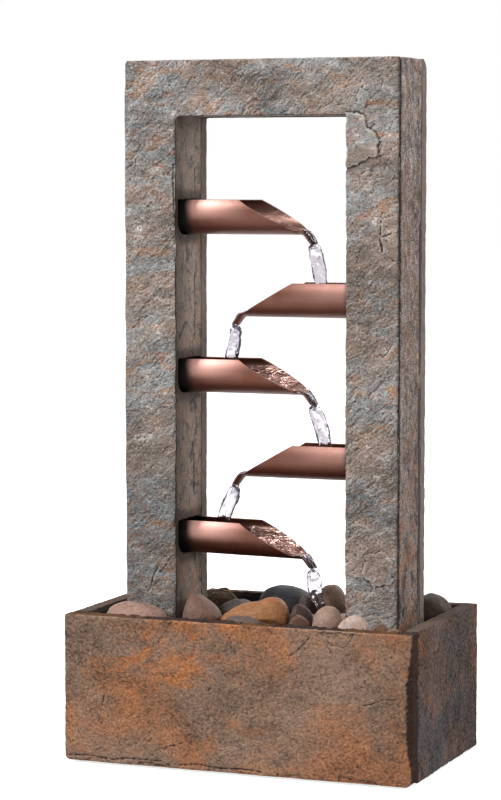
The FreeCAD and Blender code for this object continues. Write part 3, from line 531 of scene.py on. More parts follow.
@dataclass(frozen=True)
class SlateFinish(Finish):
    """A riven slate face with its stains, its grain and the colour of its cut edges."""

    ground: Colour
    second: Colour
    stain: Colour
    pale: Colour
    dark: Colour
    cut: Colour
    stain_share: float = 0.5
    pale_share: float = 0.4
    dark_share: float = 0.5
    cut_share: float = 0.6
    patches: float = 22.0           # broad patches per metre
    turn: Triple = (0.0, 0.0, 0.0)
    stretch: Triple = (1.0, 1.0, 1.0)
    # the next two give the shares of painted shade in hollows and painted highlight on ridges
    depth: float = 0.7
    ridge: float = 0.5
    roughness: float = 0.78
    ribs: float = 0.0               # height of the saw's ribs on cut edges, in metres
    flakes: float = 105.0           # flakes per metre
    flake_depth: float = 0.0022     # metres, over all steps
    flake_steps: float = 9.0
    grain: float = 0.0007           # metres
    line_share: float = 0.5
    pits: float = 420.0             # pits per metre
    pit_share: float = 0.25
    contrast: float = 1.0           # how uneven its tone is
    grit: float = 1.2               # how much of that is in its finest grain
    foot_tone: Point = (1.0, 1.0)   # tone towards its foot, left and right
    heart: Triple = (0.0, 0.0, 0.0)     # X, Z and reach of its rustiest place, in millimetres
    side_tone: float = 1.0          # tone of its right side against its left: painted shade, as if lit from the left
    rim: Colour = srgb(96, 78, 66)  # cut stone that lies open upwards
    rim_share: float = 0.0
    gloss: float = 0.3

    def rust(self, g: Graph, x: Output, z: Output) -> object:
        """Share of rust, which falls off round the rustiest place.

        Args:
            g: the material's graph.
            x: the place's X in metres.
            z: its Z.

        Returns:
            The share, a plain number where there is no such place.
        """
        heart_x, heart_z, reach = (value * MM for value in self.heart)
        if not reach:
            return self.stain_share
        away = g.math("SQRT", (x - heart_x) ** 2.0 + ((z - heart_z) * 1.5) ** 2.0)
        return g.span(away, 0.015, reach, self.stain_share + 0.17, self.stain_share - 0.32)

    def lay_out(self, g: Graph) -> None:
        """Lay out the stone's colours and relief, from broad to fine.

        Args:
            g: the material's empty graph.
        """
        where = g.mapped(self.turn, self.stretch)
        x, _, z = g.axes(g.mapped())
        cut = g.attribute("cut")
        mottle = g.group(stone_mottle(), self, Vector=where, Stain_Share=self.rust(g, x, z))
        fine, close, height = mottle["Fine"], mottle["Close"], mottle["Height"]
        shadow = scaled(self.dark, 0.32)
        wear = g.group(stone_wear(), self, Color=mottle["Color"], Shadow=shadow, Light=self.pale)
        flakes = g.group(cleft_relief(), Vector=where, Scale=self.flakes, Steps=self.flake_steps)
        # painted shade: the pits and the fronts of the flakes are darkened
        pits = g.span(g.noise(g.mapped(), self.pits, 2.0, 0.5), 0.66, 0.74)
        lines = flakes["Front"] * g.span(close, 0.5, 0.62)
        colour = g.mix(lines * self.line_share, wear["Color"], self.dark)
        colour = g.mix(pits * self.pit_share, colour, shadow)
        upward = g.span(g.facing()[2], 0.3, 0.9) * cut
        rimmed = g.mix(g.span(height, 0.4, 0.6), self.rim, self.cut)
        colour = g.mix(upward * self.rim_share, colour, rimmed)
        foot = g.span(x, -0.08, 0.08, *self.foot_tone)
        # darker or lighter towards the foot, by the tone of each side
        footward = g.span(z, 0.12, 0.36, 1.0, 0.0)
        colour = g.tinted(colour, 1.0 - footward * (1.0 - foot))
        # painted shade: lighter on the left, darker on the right
        colour = g.tinted(colour, g.span(x, -0.12, 0.12, 2.0 - self.side_tone, self.side_tone))
        normal = g.bump(close, self.grain, 0.9, g.bump(fine, 0.00045, 0.9))
        normal = g.bump(flakes["Height"], self.flake_depth, 1.0, normal)
        normal = g.bump(1.0 - pits, 0.0004, self.pit_share, normal)
        if self.ribs > 0.0:
            rib = g.noise(g.mapped(stretch=(0.03, 0.03, 1.0)), 560.0, 1.0)
            normal = g.bump(rib * cut, self.ribs, 1.0, normal)
            # painted shade in the grooves of the saw's ribs
            colour = g.mix(g.span(rib, 0.58, 0.44) * cut * 0.9, colour, shadow)
        rough = g.span(height, 0.3, 0.7, self.roughness + 0.1, self.roughness - 0.08)
        g.surface(
            Base_Color=colour, Roughness=rough + cut * 0.25, Normal=normal,
            Specular_IOR_Level=self.gloss,
        )


@dataclass(frozen=True)
class SawnSlateFinish(Finish):
    """Slate sawn along its length, with streaks, short cracks and rust towards its foot."""

    ground: Colour
    streak: Colour
    pale: Colour
    rust: Colour
    dark: Colour
    rust_height: float = 0.46       # metres above the rest plane where the rust fades out
    rust_share: float = 0.8
    crack_share: float = 1.0
    roughness: float = 0.72
    contrast: float = 1.0           # how uneven its tone is
    stretch: float = 0.3            # its pattern's pace upwards
    grit: float = 1.0               # share of its finest grain
    shade_from: Point = (-90.0, -91.0)  # Y in millimetres where painted shade fades out and is full

    def lay_out(self, g: Graph) -> None:
        """Lay out the streaks, rust, dark patches towards the foot, painted shade, cracks and grain.

        Args:
            g: the material's empty graph.
        """
        long_way = g.mapped(stretch=(1.0, 1.0, self.stretch))
        plain = g.mapped()
        streaks = g.noise(long_way, 150.0, 7.0, 0.72, 1.2)
        broad = g.noise(long_way, 55.0, 6.0, 0.7, 1.2)
        cloud = g.noise(plain, 48.0, 8.0, 0.7, 1.0)
        fine = g.noise(plain, 1100.0, 3.0, 0.62)
        close = g.noise(long_way, 480.0, 4.0, 0.7, 0.6)
        _, y, z = g.axes(plain)
        low = g.span(z, self.rust_height, 0.10, 0.15, 1.0)
        colour = g.mix(g.span(broad, 0.38, 0.60), self.ground, self.streak)
        colour = g.mix(g.span(streaks, 0.53, 0.68) * 0.6, colour, self.pale)
        colour = g.tinted(colour, g.span(z, 0.5, 0.12, 1.05, 0.80))
        mixed = cloud + (streaks - 0.5) * 0.5
        rusty = g.span(mixed, 0.48, 0.64) * low
        colour = g.mix(rusty * self.rust_share, colour, self.rust)
        footward = g.span(mixed, 0.50, 0.34) * g.span(low, 0.2, 1.0, 0.35, 0.8)
        colour = g.mix(footward, colour, self.dark)
        # painted shade that deepens between the two Y values
        fades, full = (value * MM for value in self.shade_from)
        shaded = g.span(y + (cloud - 0.5) * 0.02, fades, full, 0.0, 0.75)
        colour = g.mix(shaded, colour, self.dark)
        cracks = g.noise(
            g.mapped(stretch=(1.0, 1.0, 0.05), shift=(0.0, 0.3, 0.7)), 260.0, 2.0, 0.5, 0.15
        )
        crack = g.span(cracks, 0.72, 0.76) * self.crack_share
        layers = ((fine, self.grit), (close, 0.9), (streaks, 0.45), (cloud, 0.9))
        colour = g.uneven(colour, layers, self.contrast)
        shadow = scaled(self.dark, 0.25)
        wear = g.group(
            stone_wear(), Color=g.mix(crack, colour, shadow), Shadow=shadow, Light=self.pale,
            Cut=self.dark, Depth=0.7, Ridge=0.35, Cut_Share=0.6,
        )
        normal = g.bump(close, 0.0007, 0.8, g.bump(fine, 0.0004, 0.8))
        normal = g.bump(streaks, 0.0016, 0.8, normal)
        normal = g.bump(1.0 - crack, 0.0010, 1.0, normal)
        rough = g.span(streaks, 0.3, 0.7, self.roughness + 0.1, self.roughness - 0.06)
        g.surface(
            Base_Color=wear["Color"], Roughness=rough, Normal=normal, Specular_IOR_Level=0.15
        )


@dataclass(frozen=True)
class CopperFinish(Finish):
    """Satin copper sheet, drawn lengthwise and a little clouded, with painted shade underneath and at
    the legs, and painted highlights near the legs and on the wet trough.
    """

    name: str = "satin_copper"
    bright: Colour = srgb(106, 69, 58)
    brown: Colour = srgb(99, 57, 41)
    fleck: Colour = srgb(138, 98, 88)
    # The next four colours are painted light: shade underneath and in the ripples, a highlight near
    # the legs, shade where the tube enters the leg, and highlights on the ripples.
    under: Colour = srgb(86, 38, 23)
    painted_highlight: Colour = srgb(230, 176, 164)
    painted_root_shade: Colour = srgb(20, 15, 13)
    painted_ripple_highlight: Colour = srgb(238, 198, 186)
    roughness: float = 0.48
    leg: float = 69.0               # millimetres from the middle to the legs' inner faces

    def lay_out(self, g: Graph) -> None:
        """Lay out the sheet's clouds, its painted shade and highlights, and its wet trough.

        Args:
            g: the material's empty graph.
        """
        plain = g.mapped()
        x, _, _ = g.axes(plain)
        _, facing_y, facing_z = g.facing()
        wet = g.attribute("wet")
        cloud = g.noise(plain, 55.0, 4.0, 0.6, 0.6)
        lines = g.noise(g.mapped(stretch=(0.05, 1.0, 1.0)), 900.0, 4.0, 0.6)
        ripple = g.noise(g.mapped((0.0, 24.0, 0.0), (0.35, 1.0, 1.0)), 165.0, 3.0, 0.6, 1.4)
        specks = g.group(
            fine_speckle(), Vector=plain, Scale=750.0, Amount=0.16, Color=self.bright,
            Dark=self.brown, Light=self.fleck,
        )
        colour = g.mix(g.span(cloud, 0.35, 0.68), specks["Color"], self.brown)
        # painted shade: the downward-facing copper turns dark brown
        colour = g.mix(g.span(facing_z, -0.15, -0.85) * 0.9, colour, self.under)
        out = g.math("ABSOLUTE", x) + cloud * 0.004
        # painted highlight on the upper front near the legs, strongest by the left leg
        upper = g.span(facing_z, -0.45, 0.35) * g.span(facing_y, 0.1, -0.7)
        near = g.span(out, (self.leg - 56.0) * MM, (self.leg - 12.0) * MM) * upper
        colour = g.mix(near * g.span(x, 0.01, -0.01, 0.35, 1.0), colour, self.painted_highlight)
        # painted shade where the tube goes into the leg
        root_shade_mask = g.span(out, (self.leg - 7.0) * MM, (self.leg + 1.0) * MM)
        colour = g.mix(root_shade_mask, colour, self.painted_root_shade)
        # painted highlights and painted dark streaks on the ripples of the water running in the trough
        colour = g.mix(g.span(ripple, 0.50, 0.68, 0.28, 0.9) * wet, colour, self.painted_ripple_highlight)
        trough = g.span(ripple, 0.46, 0.36) * wet ** 3.0
        colour = g.mix(trough * 0.7, colour, self.under)
        rough = g.span(lines, 0.3, 0.7, -0.05, 0.06) + self.roughness - wet * 0.34
        normal = g.bump(lines, 0.00006, 0.7, g.bump(cloud, 0.0006, 0.5))
        normal = g.bump(ripple * wet ** 3.0, 0.0035, 1.0, normal)
        g.surface(Base_Color=colour, Metallic=0.6, Roughness=rough, Normal=normal)


@dataclass(frozen=True)
class PebbleFinish(Finish):
    """A river stone, worn smooth, with clouds, bands and grains."""

    colour: Colour
    second: Colour
    band: Colour
    band_share: float = 0.3
    speckle: float = 0.7
    roughness: float = 0.58
    coarse: float = 0.0005          # relief of the skin, in metres

    def lay_out(self, g: Graph) -> None:
        """Lay out the clouds, the bands and the grains.

        Args:
            g: the material's empty graph.
        """
        where = g.mapped(turn=(20.0, 35.0, 15.0))
        clouds = g.noise(where, 55.0, 6.0, 0.62, 1.0)
        mottled = g.noise(where, 210.0, 6.0, 0.72, 0.8)
        layers = g.noise(g.mapped((25.0, 30.0, 10.0), (0.35, 1.0, 1.6)), 120.0, 5.0, 0.6, 0.8)
        colour = g.mix(g.span(clouds, 0.38, 0.64), self.colour, self.second)
        colour = g.mix(g.span(layers, 0.56, 0.66) * self.band_share, colour, self.band)
        specks = g.group(
            fine_speckle(), Vector=where, Scale=620.0, Amount=self.speckle, Color=colour,
            Dark=scaled(self.colour, 0.4), Light=scaled(self.colour, 1.7, 0.04),
        )
        skin = g.uneven(specks["Color"], ((mottled, 0.9), (clouds, 1.1)), 1.7, 0.3)
        normal = g.bump(mottled, 0.0006, 0.8, g.bump(specks["Grain"], self.coarse))
        rough = g.span(clouds, 0.3, 0.7, self.roughness + 0.08, self.roughness - 0.08)
        g.surface(Base_Color=skin, Roughness=rough, Normal=normal, Specular_IOR_Level=0.3)


@dataclass(frozen=True)
class MouldedFinish(Finish):
    """Moulded plastic, rubber or ceramic with a fine skin and rubbed patches."""

    colour: Colour
    worn: Colour
    roughness: float = 0.5
    grain: float = 0.0001           # relief of the skin, in metres

    def lay_out(self, g: Graph) -> None:
        """Lay out the skin and its rubbed patches.

        Args:
            g: the material's empty graph.
        """
        where = g.mapped()
        cloud = g.noise(where, 38.0, 5.0, 0.6, 0.4)
        specks = g.group(
            fine_speckle(), Vector=where, Scale=900.0, Amount=0.35, Color=self.colour,
            Dark=scaled(self.colour, 0.6), Light=self.worn,
        )
        colour = g.mix(g.span(cloud, 0.5, 0.72), specks["Color"], self.worn)
        rough = g.span(cloud, 0.3, 0.7, self.roughness - 0.07, self.roughness + 0.08)
        g.surface(Base_Color=colour, Roughness=rough, Normal=g.bump(specks["Grain"], self.grain))


@dataclass(frozen=True)
class ClearFinish(Finish):
    """Clear moving water or clear hose."""

    body: Colour
    # colour of the painted dark edges and threads, standing in for refraction
    line: Colour
    ior: float = 1.33
    roughness: float = 0.03
    ripple: float = 0.0012          # relief of the ripples, in metres
    ripples: float = 130.0          # ripples per metre

    def lay_out(self, g: Graph) -> None:
        """Lay out the ripples, and the fine threads and the edges painted darker: painted shade
        standing in for refraction.

        Args:
            g: the material's empty graph.
        """
        where = g.mapped(stretch=(1.0, 1.0, 0.45))
        ripple = g.noise(where, self.ripples, 3.0, 0.55, 0.6)
        threads = g.span(g.noise(where, self.ripples * 2.1, 2.0, 0.5, 1.2), 0.63, 0.70)
        edge = g.span(g.attribute("line"), 0.45, 0.85)
        colour = g.mix(g.math("MAXIMUM", edge, threads * 0.7), self.body, self.line)
        g.surface(
            Base_Color=colour, Roughness=ripple * 0.03 + self.roughness, IOR=self.ior,
            Normal=g.bump(ripple, self.ripple), Transmission_Weight=1.0,
        )


@dataclass(frozen=True)
class FloorPaint(Finish):
    """Pale floor that shows as white and takes the object's shadow."""

    name: str = "floor_paint"
    shade: Colour = srgb(150, 150, 150)
    light: Colour = srgb(252, 252, 252)
    glow: float = 0.8

    def lay_out(self, g: Graph) -> None:
        """Lay out a matt floor that glows only to the eye.

        Args:
            g: the material's empty graph.
        """
        seen = seen_directly(g)
        matt = g.lay("BsdfDiffuse", {"Color": g.mix(seen, self.shade, self.light)})
        lit = g.lay("AddShader", {0: matt, 1: g.lay("Emission", {"Strength": self.glow})})
        g.end("Material", g.lay("MixShader", {0: seen, 1: matt, 2: lit}))


def seen_directly(g: Graph) -> Output:
    """Find the rays that show the background itself, also in metal and through glass.

    Args:
        g: the graph that asks.

    Returns:
        1 for those rays, 0 for others.
    """
    camera, glossy, through = (
        g.lay("LightPath", {}, "Is %s Ray" % kind) for kind in ("Camera", "Glossy", "Transmission")
    )
    return g.math("MAXIMUM", camera, g.math("MAXIMUM", glossy, through))


# ---- Stone slabs -----------------------------------------------------------
class Facing(Enum):
    """The way a slab's dressed face looks, with the axes of its (u, v, inward) place."""

    FRONT = ((1, 0, 0), (0, 0, 1), (0, 1, 0))
    BACK = ((1, 0, 0), (0, 0, 1), (0, -1, 0))
    LEFT = ((0, 1, 0), (0, 0, 1), (1, 0, 0))
    RIGHT = ((0, 1, 0), (0, 0, 1), (-1, 0, 0))
    UP = ((1, 0, 0), (0, 1, 0), (0, 0, -1))
    DOWN = ((1, 0, 0), (0, 1, 0), (0, 0, 1))

    def placing(self, low: Vector, high: Vector) -> Matrix:
        """Matrix from a face's millimetres to the frame's metres.

        Args:
            low: the slab's lowest corner in millimetres.
            high: its highest corner in millimetres.

        Returns:
            The matrix for points (u, v, depth below the face).
        """
        across, up, inward = (Vector(axis) for axis in self.value)
        corner = low if sum(inward) > 0 else high
        place = Matrix((across, up, inward)).transposed().to_4x4()
        place.translation = [corner[i] if inward[i] else 0.0 for i in range(3)]
        return Matrix.Scale(MM, 4) @ place

    def spans(self, low: Vector, high: Vector) -> tuple[float, float, float, float, float]:
        """Low and high u, low and high v, and the thickness, of a box in millimetres."""
        across, up, inward = (next(i for i in range(3) if axis[i]) for axis in self.value)
        return low[across], high[across], low[up], high[up], high[inward] - low[inward]


@dataclass(frozen=True)
class Panel:
    """A rectangle in a slab's face, in millimetres, with a radius for each corner."""

    low_u: float
    high_u: float
    low_v: float
    high_v: float
    corners: Four = (0.0, 0.0, 0.0, 0.0)    # foot low, foot high, top high, top low

    def distance(self, u: float, v: float) -> float:
        """Distance to the outline.

        Args:
            u: millimetres across the face.
            v: millimetres up it.

        Returns:
            The distance in millimetres, negative inside.
        """
        off_u = u - (self.low_u + self.high_u) / 2
        off_v = v - (self.low_v + self.high_v) / 2
        corner = (0 if off_u < 0 else 1) if off_v < 0 else (3 if off_u < 0 else 2)
        radius = self.corners[corner]
        out_u = abs(off_u) - (self.high_u - self.low_u) / 2 + radius
        out_v = abs(off_v) - (self.high_v - self.low_v) / 2 + radius
        outside = math.hypot(max(out_u, 0.0), max(out_v, 0.0))
        return min(max(out_u, out_v), 0.0) + outside - radius

    def inward(self, u: float, v: float) -> Four:
        """Distances of a place from the low u, high u, low v and high v sides."""
        return u - self.low_u, self.high_u - u, v - self.low_v, self.high_v - v


@dataclass(frozen=True)
class Plate:
    """A patch where a layer of the stone still stands, or has come off; millimetres."""

    outline: tuple[Point, ...]
    rise: float
    smooth: float = 0.6             # how much of the relief is gone inside it
    ragged: float = 1.2

    def share(self, u: float, v: float) -> float:
        """How far a place is in the patch, with a ragged narrow edge.

        Args:
            u: millimetres across the face.
            v: millimetres up it.

        Returns:
            1 well inside the patch, 0 outside it.
        """
        warp = noise.noise_vector(Vector((u / 5.0, v / 5.0, 3.7))) * self.ragged
        u, v = u + warp.x, v + warp.y
        inside = False
        nearest = 1e9
        for (u0, v0), (u1, v1) in zip(self.outline, self.outline[1:] + self.outline[:1]):
            if (v0 > v) != (v1 > v) and u < (u1 - u0) * (v - v0) / (v1 - v0) + u0:
                inside = not inside
            nearest = min(nearest, segment_distance(u, v, (u0, v0), (u1, v1)))
        return smooth_step(-0.5, 0.7, nearest if inside else -nearest)


@dataclass(frozen=True)
class Crack:
    """An open split along a few points; millimetres."""

    points: tuple[Point, ...]
    depth: float = 0.9
    width: float = 1.1

    def share(self, u: float, v: float) -> float:
        """How far a place is in the split.

        Args:
            u: millimetres across the face.
            v: millimetres up it.

        Returns:
            1 on the split, 0 beside it.
        """
        wander = noise.noise(Vector((u / 3.0, v / 3.0, 9.1))) * 0.7
        nearest = min(
            segment_distance(u, v, start, end)
            for start, end in zip(self.points, self.points[1:])
        )
        return max(0.0, 1.0 - abs(nearest + wander) / self.width)


def segment_distance(u: float, v: float, start: Point, end: Point) -> float:
    """Distance from a point to a straight segment.

    Args:
        u: the point's first coordinate.
        v: its second coordinate.
        start: the segment's start.
        end: its end.

    Returns:
        The distance.
    """
    run_u, run_v = end[0] - start[0], end[1] - start[1]
    share = ((u - start[0]) * run_u + (v - start[1]) * run_v) / (run_u * run_u + run_v * run_v)
    share = min(1.0, max(0.0, share))
    return math.hypot(u - start[0] - share * run_u, v - start[1] - share * run_v)


@dataclass(frozen=True)
class Relief:
    """How a face of stone stands back from its plane; lengths in millimetres."""

    swell: float = 0.9              # broad waves
    swell_length: float = 75.0
    layers: float = 1.5             # all broken layers together
    layer_count: int = 5
    layer_length: float = 46.0      # along the slant
    layer_width: float = 17.0       # across it
    scales: float = 0.5             # small flakes together
    scale_length: float = 13.0
    scale_width: float = 4.6
    scale_count: int = 3
    slant: float = 36.0             # degrees
    grain: float = 0.16
    grain_length: float = 2.6
    seed: float = 1.0

    def depth(self, u: float, v: float) -> float:
        """Depth of the stone at a place.

        Args:
            u: millimetres across the face.
            v: millimetres up it.

        Returns:
            The depth below the face's highest points, in millimetres.
        """
        turn = math.radians(self.slant)
        warp = noise.noise_vector(Vector((u / 8.0, v / 8.0, self.seed))) * 2.4
        long = u * math.cos(turn) + v * math.sin(turn) + warp.x
        wide = v * math.cos(turn) - u * math.sin(turn) + warp.y
        broad = fractal(
            u / self.swell_length, v / self.swell_length, self.seed + 5.0, 1.0, 2.0, 3
        )
        layer = fractal(
            long / self.layer_length, wide / self.layer_width, self.seed + 11.0, 0.9, 2.1, 4
        )
        flake = fractal(
            long / self.scale_length, wide / self.scale_width, self.seed + 17.0, 0.8, 2.0, 3
        )
        grain = fractal(
            u / self.grain_length, v / self.grain_length, self.seed + 23.0, 0.7, 2.0, 2
        )
        return (
            self.swell * half_range(broad)
            + self.layers * stepped(layer, self.layer_count)
            + self.scales * stepped(flake, self.scale_count)
            + self.grain * half_range(grain)
        )


def stepped(value: float, count: int) -> float:
    """Break a noise value into leaning steps with sharp fronts.

    Args:
        value: the noise value.
        count: the number of steps.

    Returns:
        The height of the steps, from 0 to 1.
    """
    level = half_range(value) * count
    whole = min(math.floor(level), count - 1)
    part = level - whole
    return (whole + 0.4 * part + 0.6 * smooth_step(0.76, 0.97, part)) / count


def spread(values: np.ndarray, pairs: np.ndarray, rounds: int) -> np.ndarray:
    """Average each value with its neighbours' a number of times.

    Args:
        values: a value for each point.
        pairs: the two points of each edge.
        rounds: the number of times.

    Returns:
        The averaged values.
    """
    count = np.bincount(pairs.ravel(), minlength=len(values)).astype(float)
    for _ in range(rounds):
        total = np.zeros(len(values))
        np.add.at(total, pairs[:, 0], values[pairs[:, 1]])
        np.add.at(total, pairs[:, 1], values[pairs[:, 0]])
        values = 0.5 * values + 0.5 * total / np.maximum(count, 1.0)
    return values


@dataclass
class Slab:
    """One slab or strip of slate: a carved face, worn edges, rough cut sides and a flat far side.

    Lengths are in millimetres. The outline's sides are in the order low u, high u, low v, high v.
    """

    node: str
    facing: Facing
    relief: Relief
    material: Material
    slot: str
    cell: float = 1.0
    wall_cell: float = 1.5
    holes: tuple[Panel, ...] = ()
    corners: Four = (0.0, 0.0, 0.0, 0.0)
    arris: Four = (0.7, 0.7, 0.7, 0.7)
    ragged: Four = (0.5, 0.5, 0.5, 0.5)
    hole_arris: float = 0.6
    hole_ragged: float = 0.4
    plates: tuple[Plate, ...] = ()
    cracks: tuple[Crack, ...] = ()
    hole_shade_reach: float = 0.0          # how far painted shade reaches round the holes
    bevel: float = 0.0              # width broken off the high u edge, none at its two ends
    wall_rough: float = 0.3
    most: float = 0.0               # greatest depth of the carving, 0 for half the thickness
    wear_reach: float = 4.0         # how far in from a side its ragged line is felt

    def __post_init__(self) -> None:
        """Read the slab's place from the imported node."""
        self.low, self.high = box_mm(self.node)
        *sides, self.thickness = self.facing.spans(self.low, self.high)
        self.outline = Panel(*sides, self.corners)
        self.most = self.most or self.thickness / 2

    def distance(self, u: float, v: float) -> float:
        """Distance to the stone's outline and its holes, negative inside the stone."""
        return max([self.outline.distance(u, v)] + [-hole.distance(u, v) for hole in self.holes])

    def outward(self, u: float, v: float) -> Point:
        """Direction in which the outline is left fastest.

        Args:
            u: millimetres across the face.
            v: millimetres up it.

        Returns:
            The direction, of length 1.
        """
        step = 0.05
        slope_u = self.distance(u + step, v) - self.distance(u - step, v)
        slope_v = self.distance(u, v + step) - self.distance(u, v - step)
        size = math.hypot(slope_u, slope_v) or 1.0
        return slope_u / size, slope_v / size

    def build(self) -> None:
        """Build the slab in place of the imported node."""
        bm = bmesh.new()
        self._lay_grid(bm)
        self._trim(bm)
        self._carve(bm)
        self._close(bm)
        bmesh.ops.transform(bm, matrix=self.facing.placing(self.low, self.high), verts=bm.verts)
        bmesh.ops.recalc_face_normals(bm, faces=bm.faces)
        finished(self.node + "_stone", bm, self.material, [self.node])

    def _lay_grid(self, bm: BMesh) -> None:
        """Lay a flat grid over the whole outline.

        Args:
            bm: the slab's empty shape.
        """
        plan = self.outline
        wide, tall = plan.high_u - plan.low_u, plan.high_v - plan.low_v
        across, up = (max(2, round(length / self.cell)) for length in (wide, tall))
        bmesh.ops.create_grid(bm, x_segments=across, y_segments=up, size=0.5)
        bmesh.ops.scale(bm, vec=(wide, tall, 1.0), verts=bm.verts)
        middle = ((plan.low_u + plan.high_u) / 2, (plan.low_v + plan.high_v) / 2, 0.0)
        bmesh.ops.translate(bm, vec=middle, verts=bm.verts)

    def _trim(self, bm: BMesh) -> None:
        """Cut the grid to the outline and the holes, and draw its edge onto them.

        Args:
            bm: the slab's shape, a flat grid.
        """
        centres = ((face, face.calc_center_median()) for face in bm.faces)
        outside = [face for face, centre in centres if self.distance(centre.x, centre.y) > 0.0]
        bmesh.ops.delete(bm, geom=outside, context="FACES")
        for vert in (vert for vert in bm.verts if vert.is_boundary):
            for _ in range(3):
                off = self.distance(vert.co.x, vert.co.y)
                if abs(off) < 0.001:
                    break
                out_u, out_v = self.outward(vert.co.x, vert.co.y)
                vert.co.x -= off * out_u
                vert.co.y -= off * out_v

    def _sides(self, u: float, v: float) -> list[Triple]:
        """Distance, wear and raggedness of each side and each hole."""
        sides = list(zip(self.outline.inward(u, v), self.arris, self.ragged))
        worn = (self.hole_arris, self.hole_ragged)
        return sides + [(hole.distance(u, v), *worn) for hole in self.holes]

    def _edge_depth(self, u: float, v: float) -> float:
        """Depth taken off near the sides by rounding and chips.

        Args:
            u: millimetres across the face.
            v: millimetres up it.

        Returns:
            The depth in millimetres.
        """
        chip = fractal(u / 7.0, v / 7.0, self.relief.seed + 31.0, 0.8, 2.0, 3)
        taken = 0.0
        for off, radius, _ in self._sides(u, v):
            reach = radius if radius > 3.0 else radius * (0.75 + 1.5 * max(0.0, chip))
            if off < reach:
                share = (reach - max(off, 0.0)) / reach
                taken = max(taken, reach * (1.0 - math.sqrt(max(0.0, 1.0 - share * share))))
        return taken

    def _broken(self, u: float, v: float) -> float:
        """Depth of the break along the high u edge.

        Args:
            u: millimetres across the face.
            v: millimetres up it.

        Returns:
            The depth in millimetres.
        """
        _, edge, foot, top = self.outline.inward(u, v)
        chip = fractal(u / 9.0, v / 5.0, self.relief.seed + 61.0, 0.8, 2.0, 3)
        reach = self.bevel * smooth_step(2.0, 42.0, min(foot, top)) * (1.0 + 0.35 * chip)
        return 0.9 * max(0.0, reach - edge)

    def _inset(self, u: float, v: float) -> float:
        """How far the outline itself stands in at a place near the edge.

        Args:
            u: millimetres across the face.
            v: millimetres up it.

        Returns:
            The distance in millimetres.
        """
        wave = fractal(u / 16.0, v / 16.0, self.relief.seed + 41.0, 0.9, 2.2, 4)
        nick = max(0.0, noise.noise(Vector((u / 4.0, v / 4.0, self.relief.seed + 47.0))) - 0.25)
        amount = half_range(wave) + 1.6 * nick
        return max(
            ragged * amount * (1.0 - smooth_step(0.0, self.wear_reach, off))
            for off, _, ragged in self._sides(u, v)
        )

    def _carve(self, bm: BMesh) -> None:
        """Sink the face by its relief, edges and splits, and keep what the finish reads.

        Args:
            bm: the slab's shape, a trimmed flat grid.
        """
        hollow_layer, line_layer, cut_layer = (
            bm.verts.layers.float.new(name) for name in ("hollow", "line", "cut")
        )
        bm.verts.index_update()
        depths = []
        for vert in bm.verts:
            u, v = vert.co.x, vert.co.y
            depth = self.relief.depth(u, v)
            for plate in self.plates:
                share = plate.share(u, v)
                if share > 0.0:
                    depth -= share * (depth * plate.smooth + plate.rise - 0.5)
            for crack in self.cracks:
                share = crack.share(u, v)
                vert[line_layer] = max(vert[line_layer], share)
                depth += crack.depth * share
            depths.append(min(self.most, max(0.0, depth)))
        pairs = np.array([[vert.index for vert in edge.verts] for edge in bm.edges])
        depths = np.array(depths)
        close, wide = spread(depths, pairs, 2), spread(depths, pairs, 9)
        hollow = 0.5 + 1.6 * (depths - close) + 0.75 * (depths - wide)
        for vert, depth, value in zip(bm.verts, depths, np.clip(hollow, 0.0, 1.0)):
            u, v = vert.co.x, vert.co.y
            inset = self._inset(u, v)
            out_u, out_v = self.outward(u, v) if inset > 0.0 else (0.0, 0.0)
            broken = self._broken(u, v) if self.bevel > 0.0 else 0.0
            sunk = depth + max(self._edge_depth(u, v), broken)
            vert[cut_layer] = smooth_step(0.1, 0.6, broken)
            vert.co = (u - inset * out_u, v - inset * out_v, min(self.thickness * 0.8, sunk))
            # painted shade round the holes, carried by the hollow value
            if self.hole_shade_reach > 0.0:
                away = min(hole.distance(u, v) for hole in self.holes) / self.hole_shade_reach
                value = max(value, 0.95 - 0.45 * smooth_step(0.1, 1.0, away))
            vert[hollow_layer] = float(value)

    def _close(self, bm: BMesh) -> None:
        """Draw the cut sides back ring by ring and close the far side.

        Args:
            bm: the slab's shape, a carved face.
        """
        cut_layer, hollow_layer = (bm.verts.layers.float[name] for name in ("cut", "hollow"))
        seed = self.relief.seed + 53.0
        edges = [edge for edge in bm.edges if edge.is_boundary]
        rings = max(2, round(self.thickness / self.wall_cell))
        for ring in range(1, rings + 1):
            verts, edges = grown(bm, edges)
            left = (rings - ring) / (rings - ring + 1)
            for vert in verts:
                u, v, depth = vert.co
                depth = self.thickness - (self.thickness - depth) * left
                rough = fractal(u / 6.0, v / 6.0, depth / 3.0 + seed, 0.8, 2.0, 3)
                push = self.wall_rough * (half_range(rough) - 0.45) if left else 0.0
                push = max(push, -max(0.0, -self.distance(u, v)))
                out_u, out_v = self.outward(u, v)
                vert.co = (u - push * out_u, v - push * out_v, depth)
                vert[cut_layer] = 1.0
                vert[hollow_layer] = 0.5 + 0.5 * rough
        bmesh.ops.triangle_fill(bm, use_beauty=True, edges=edges)


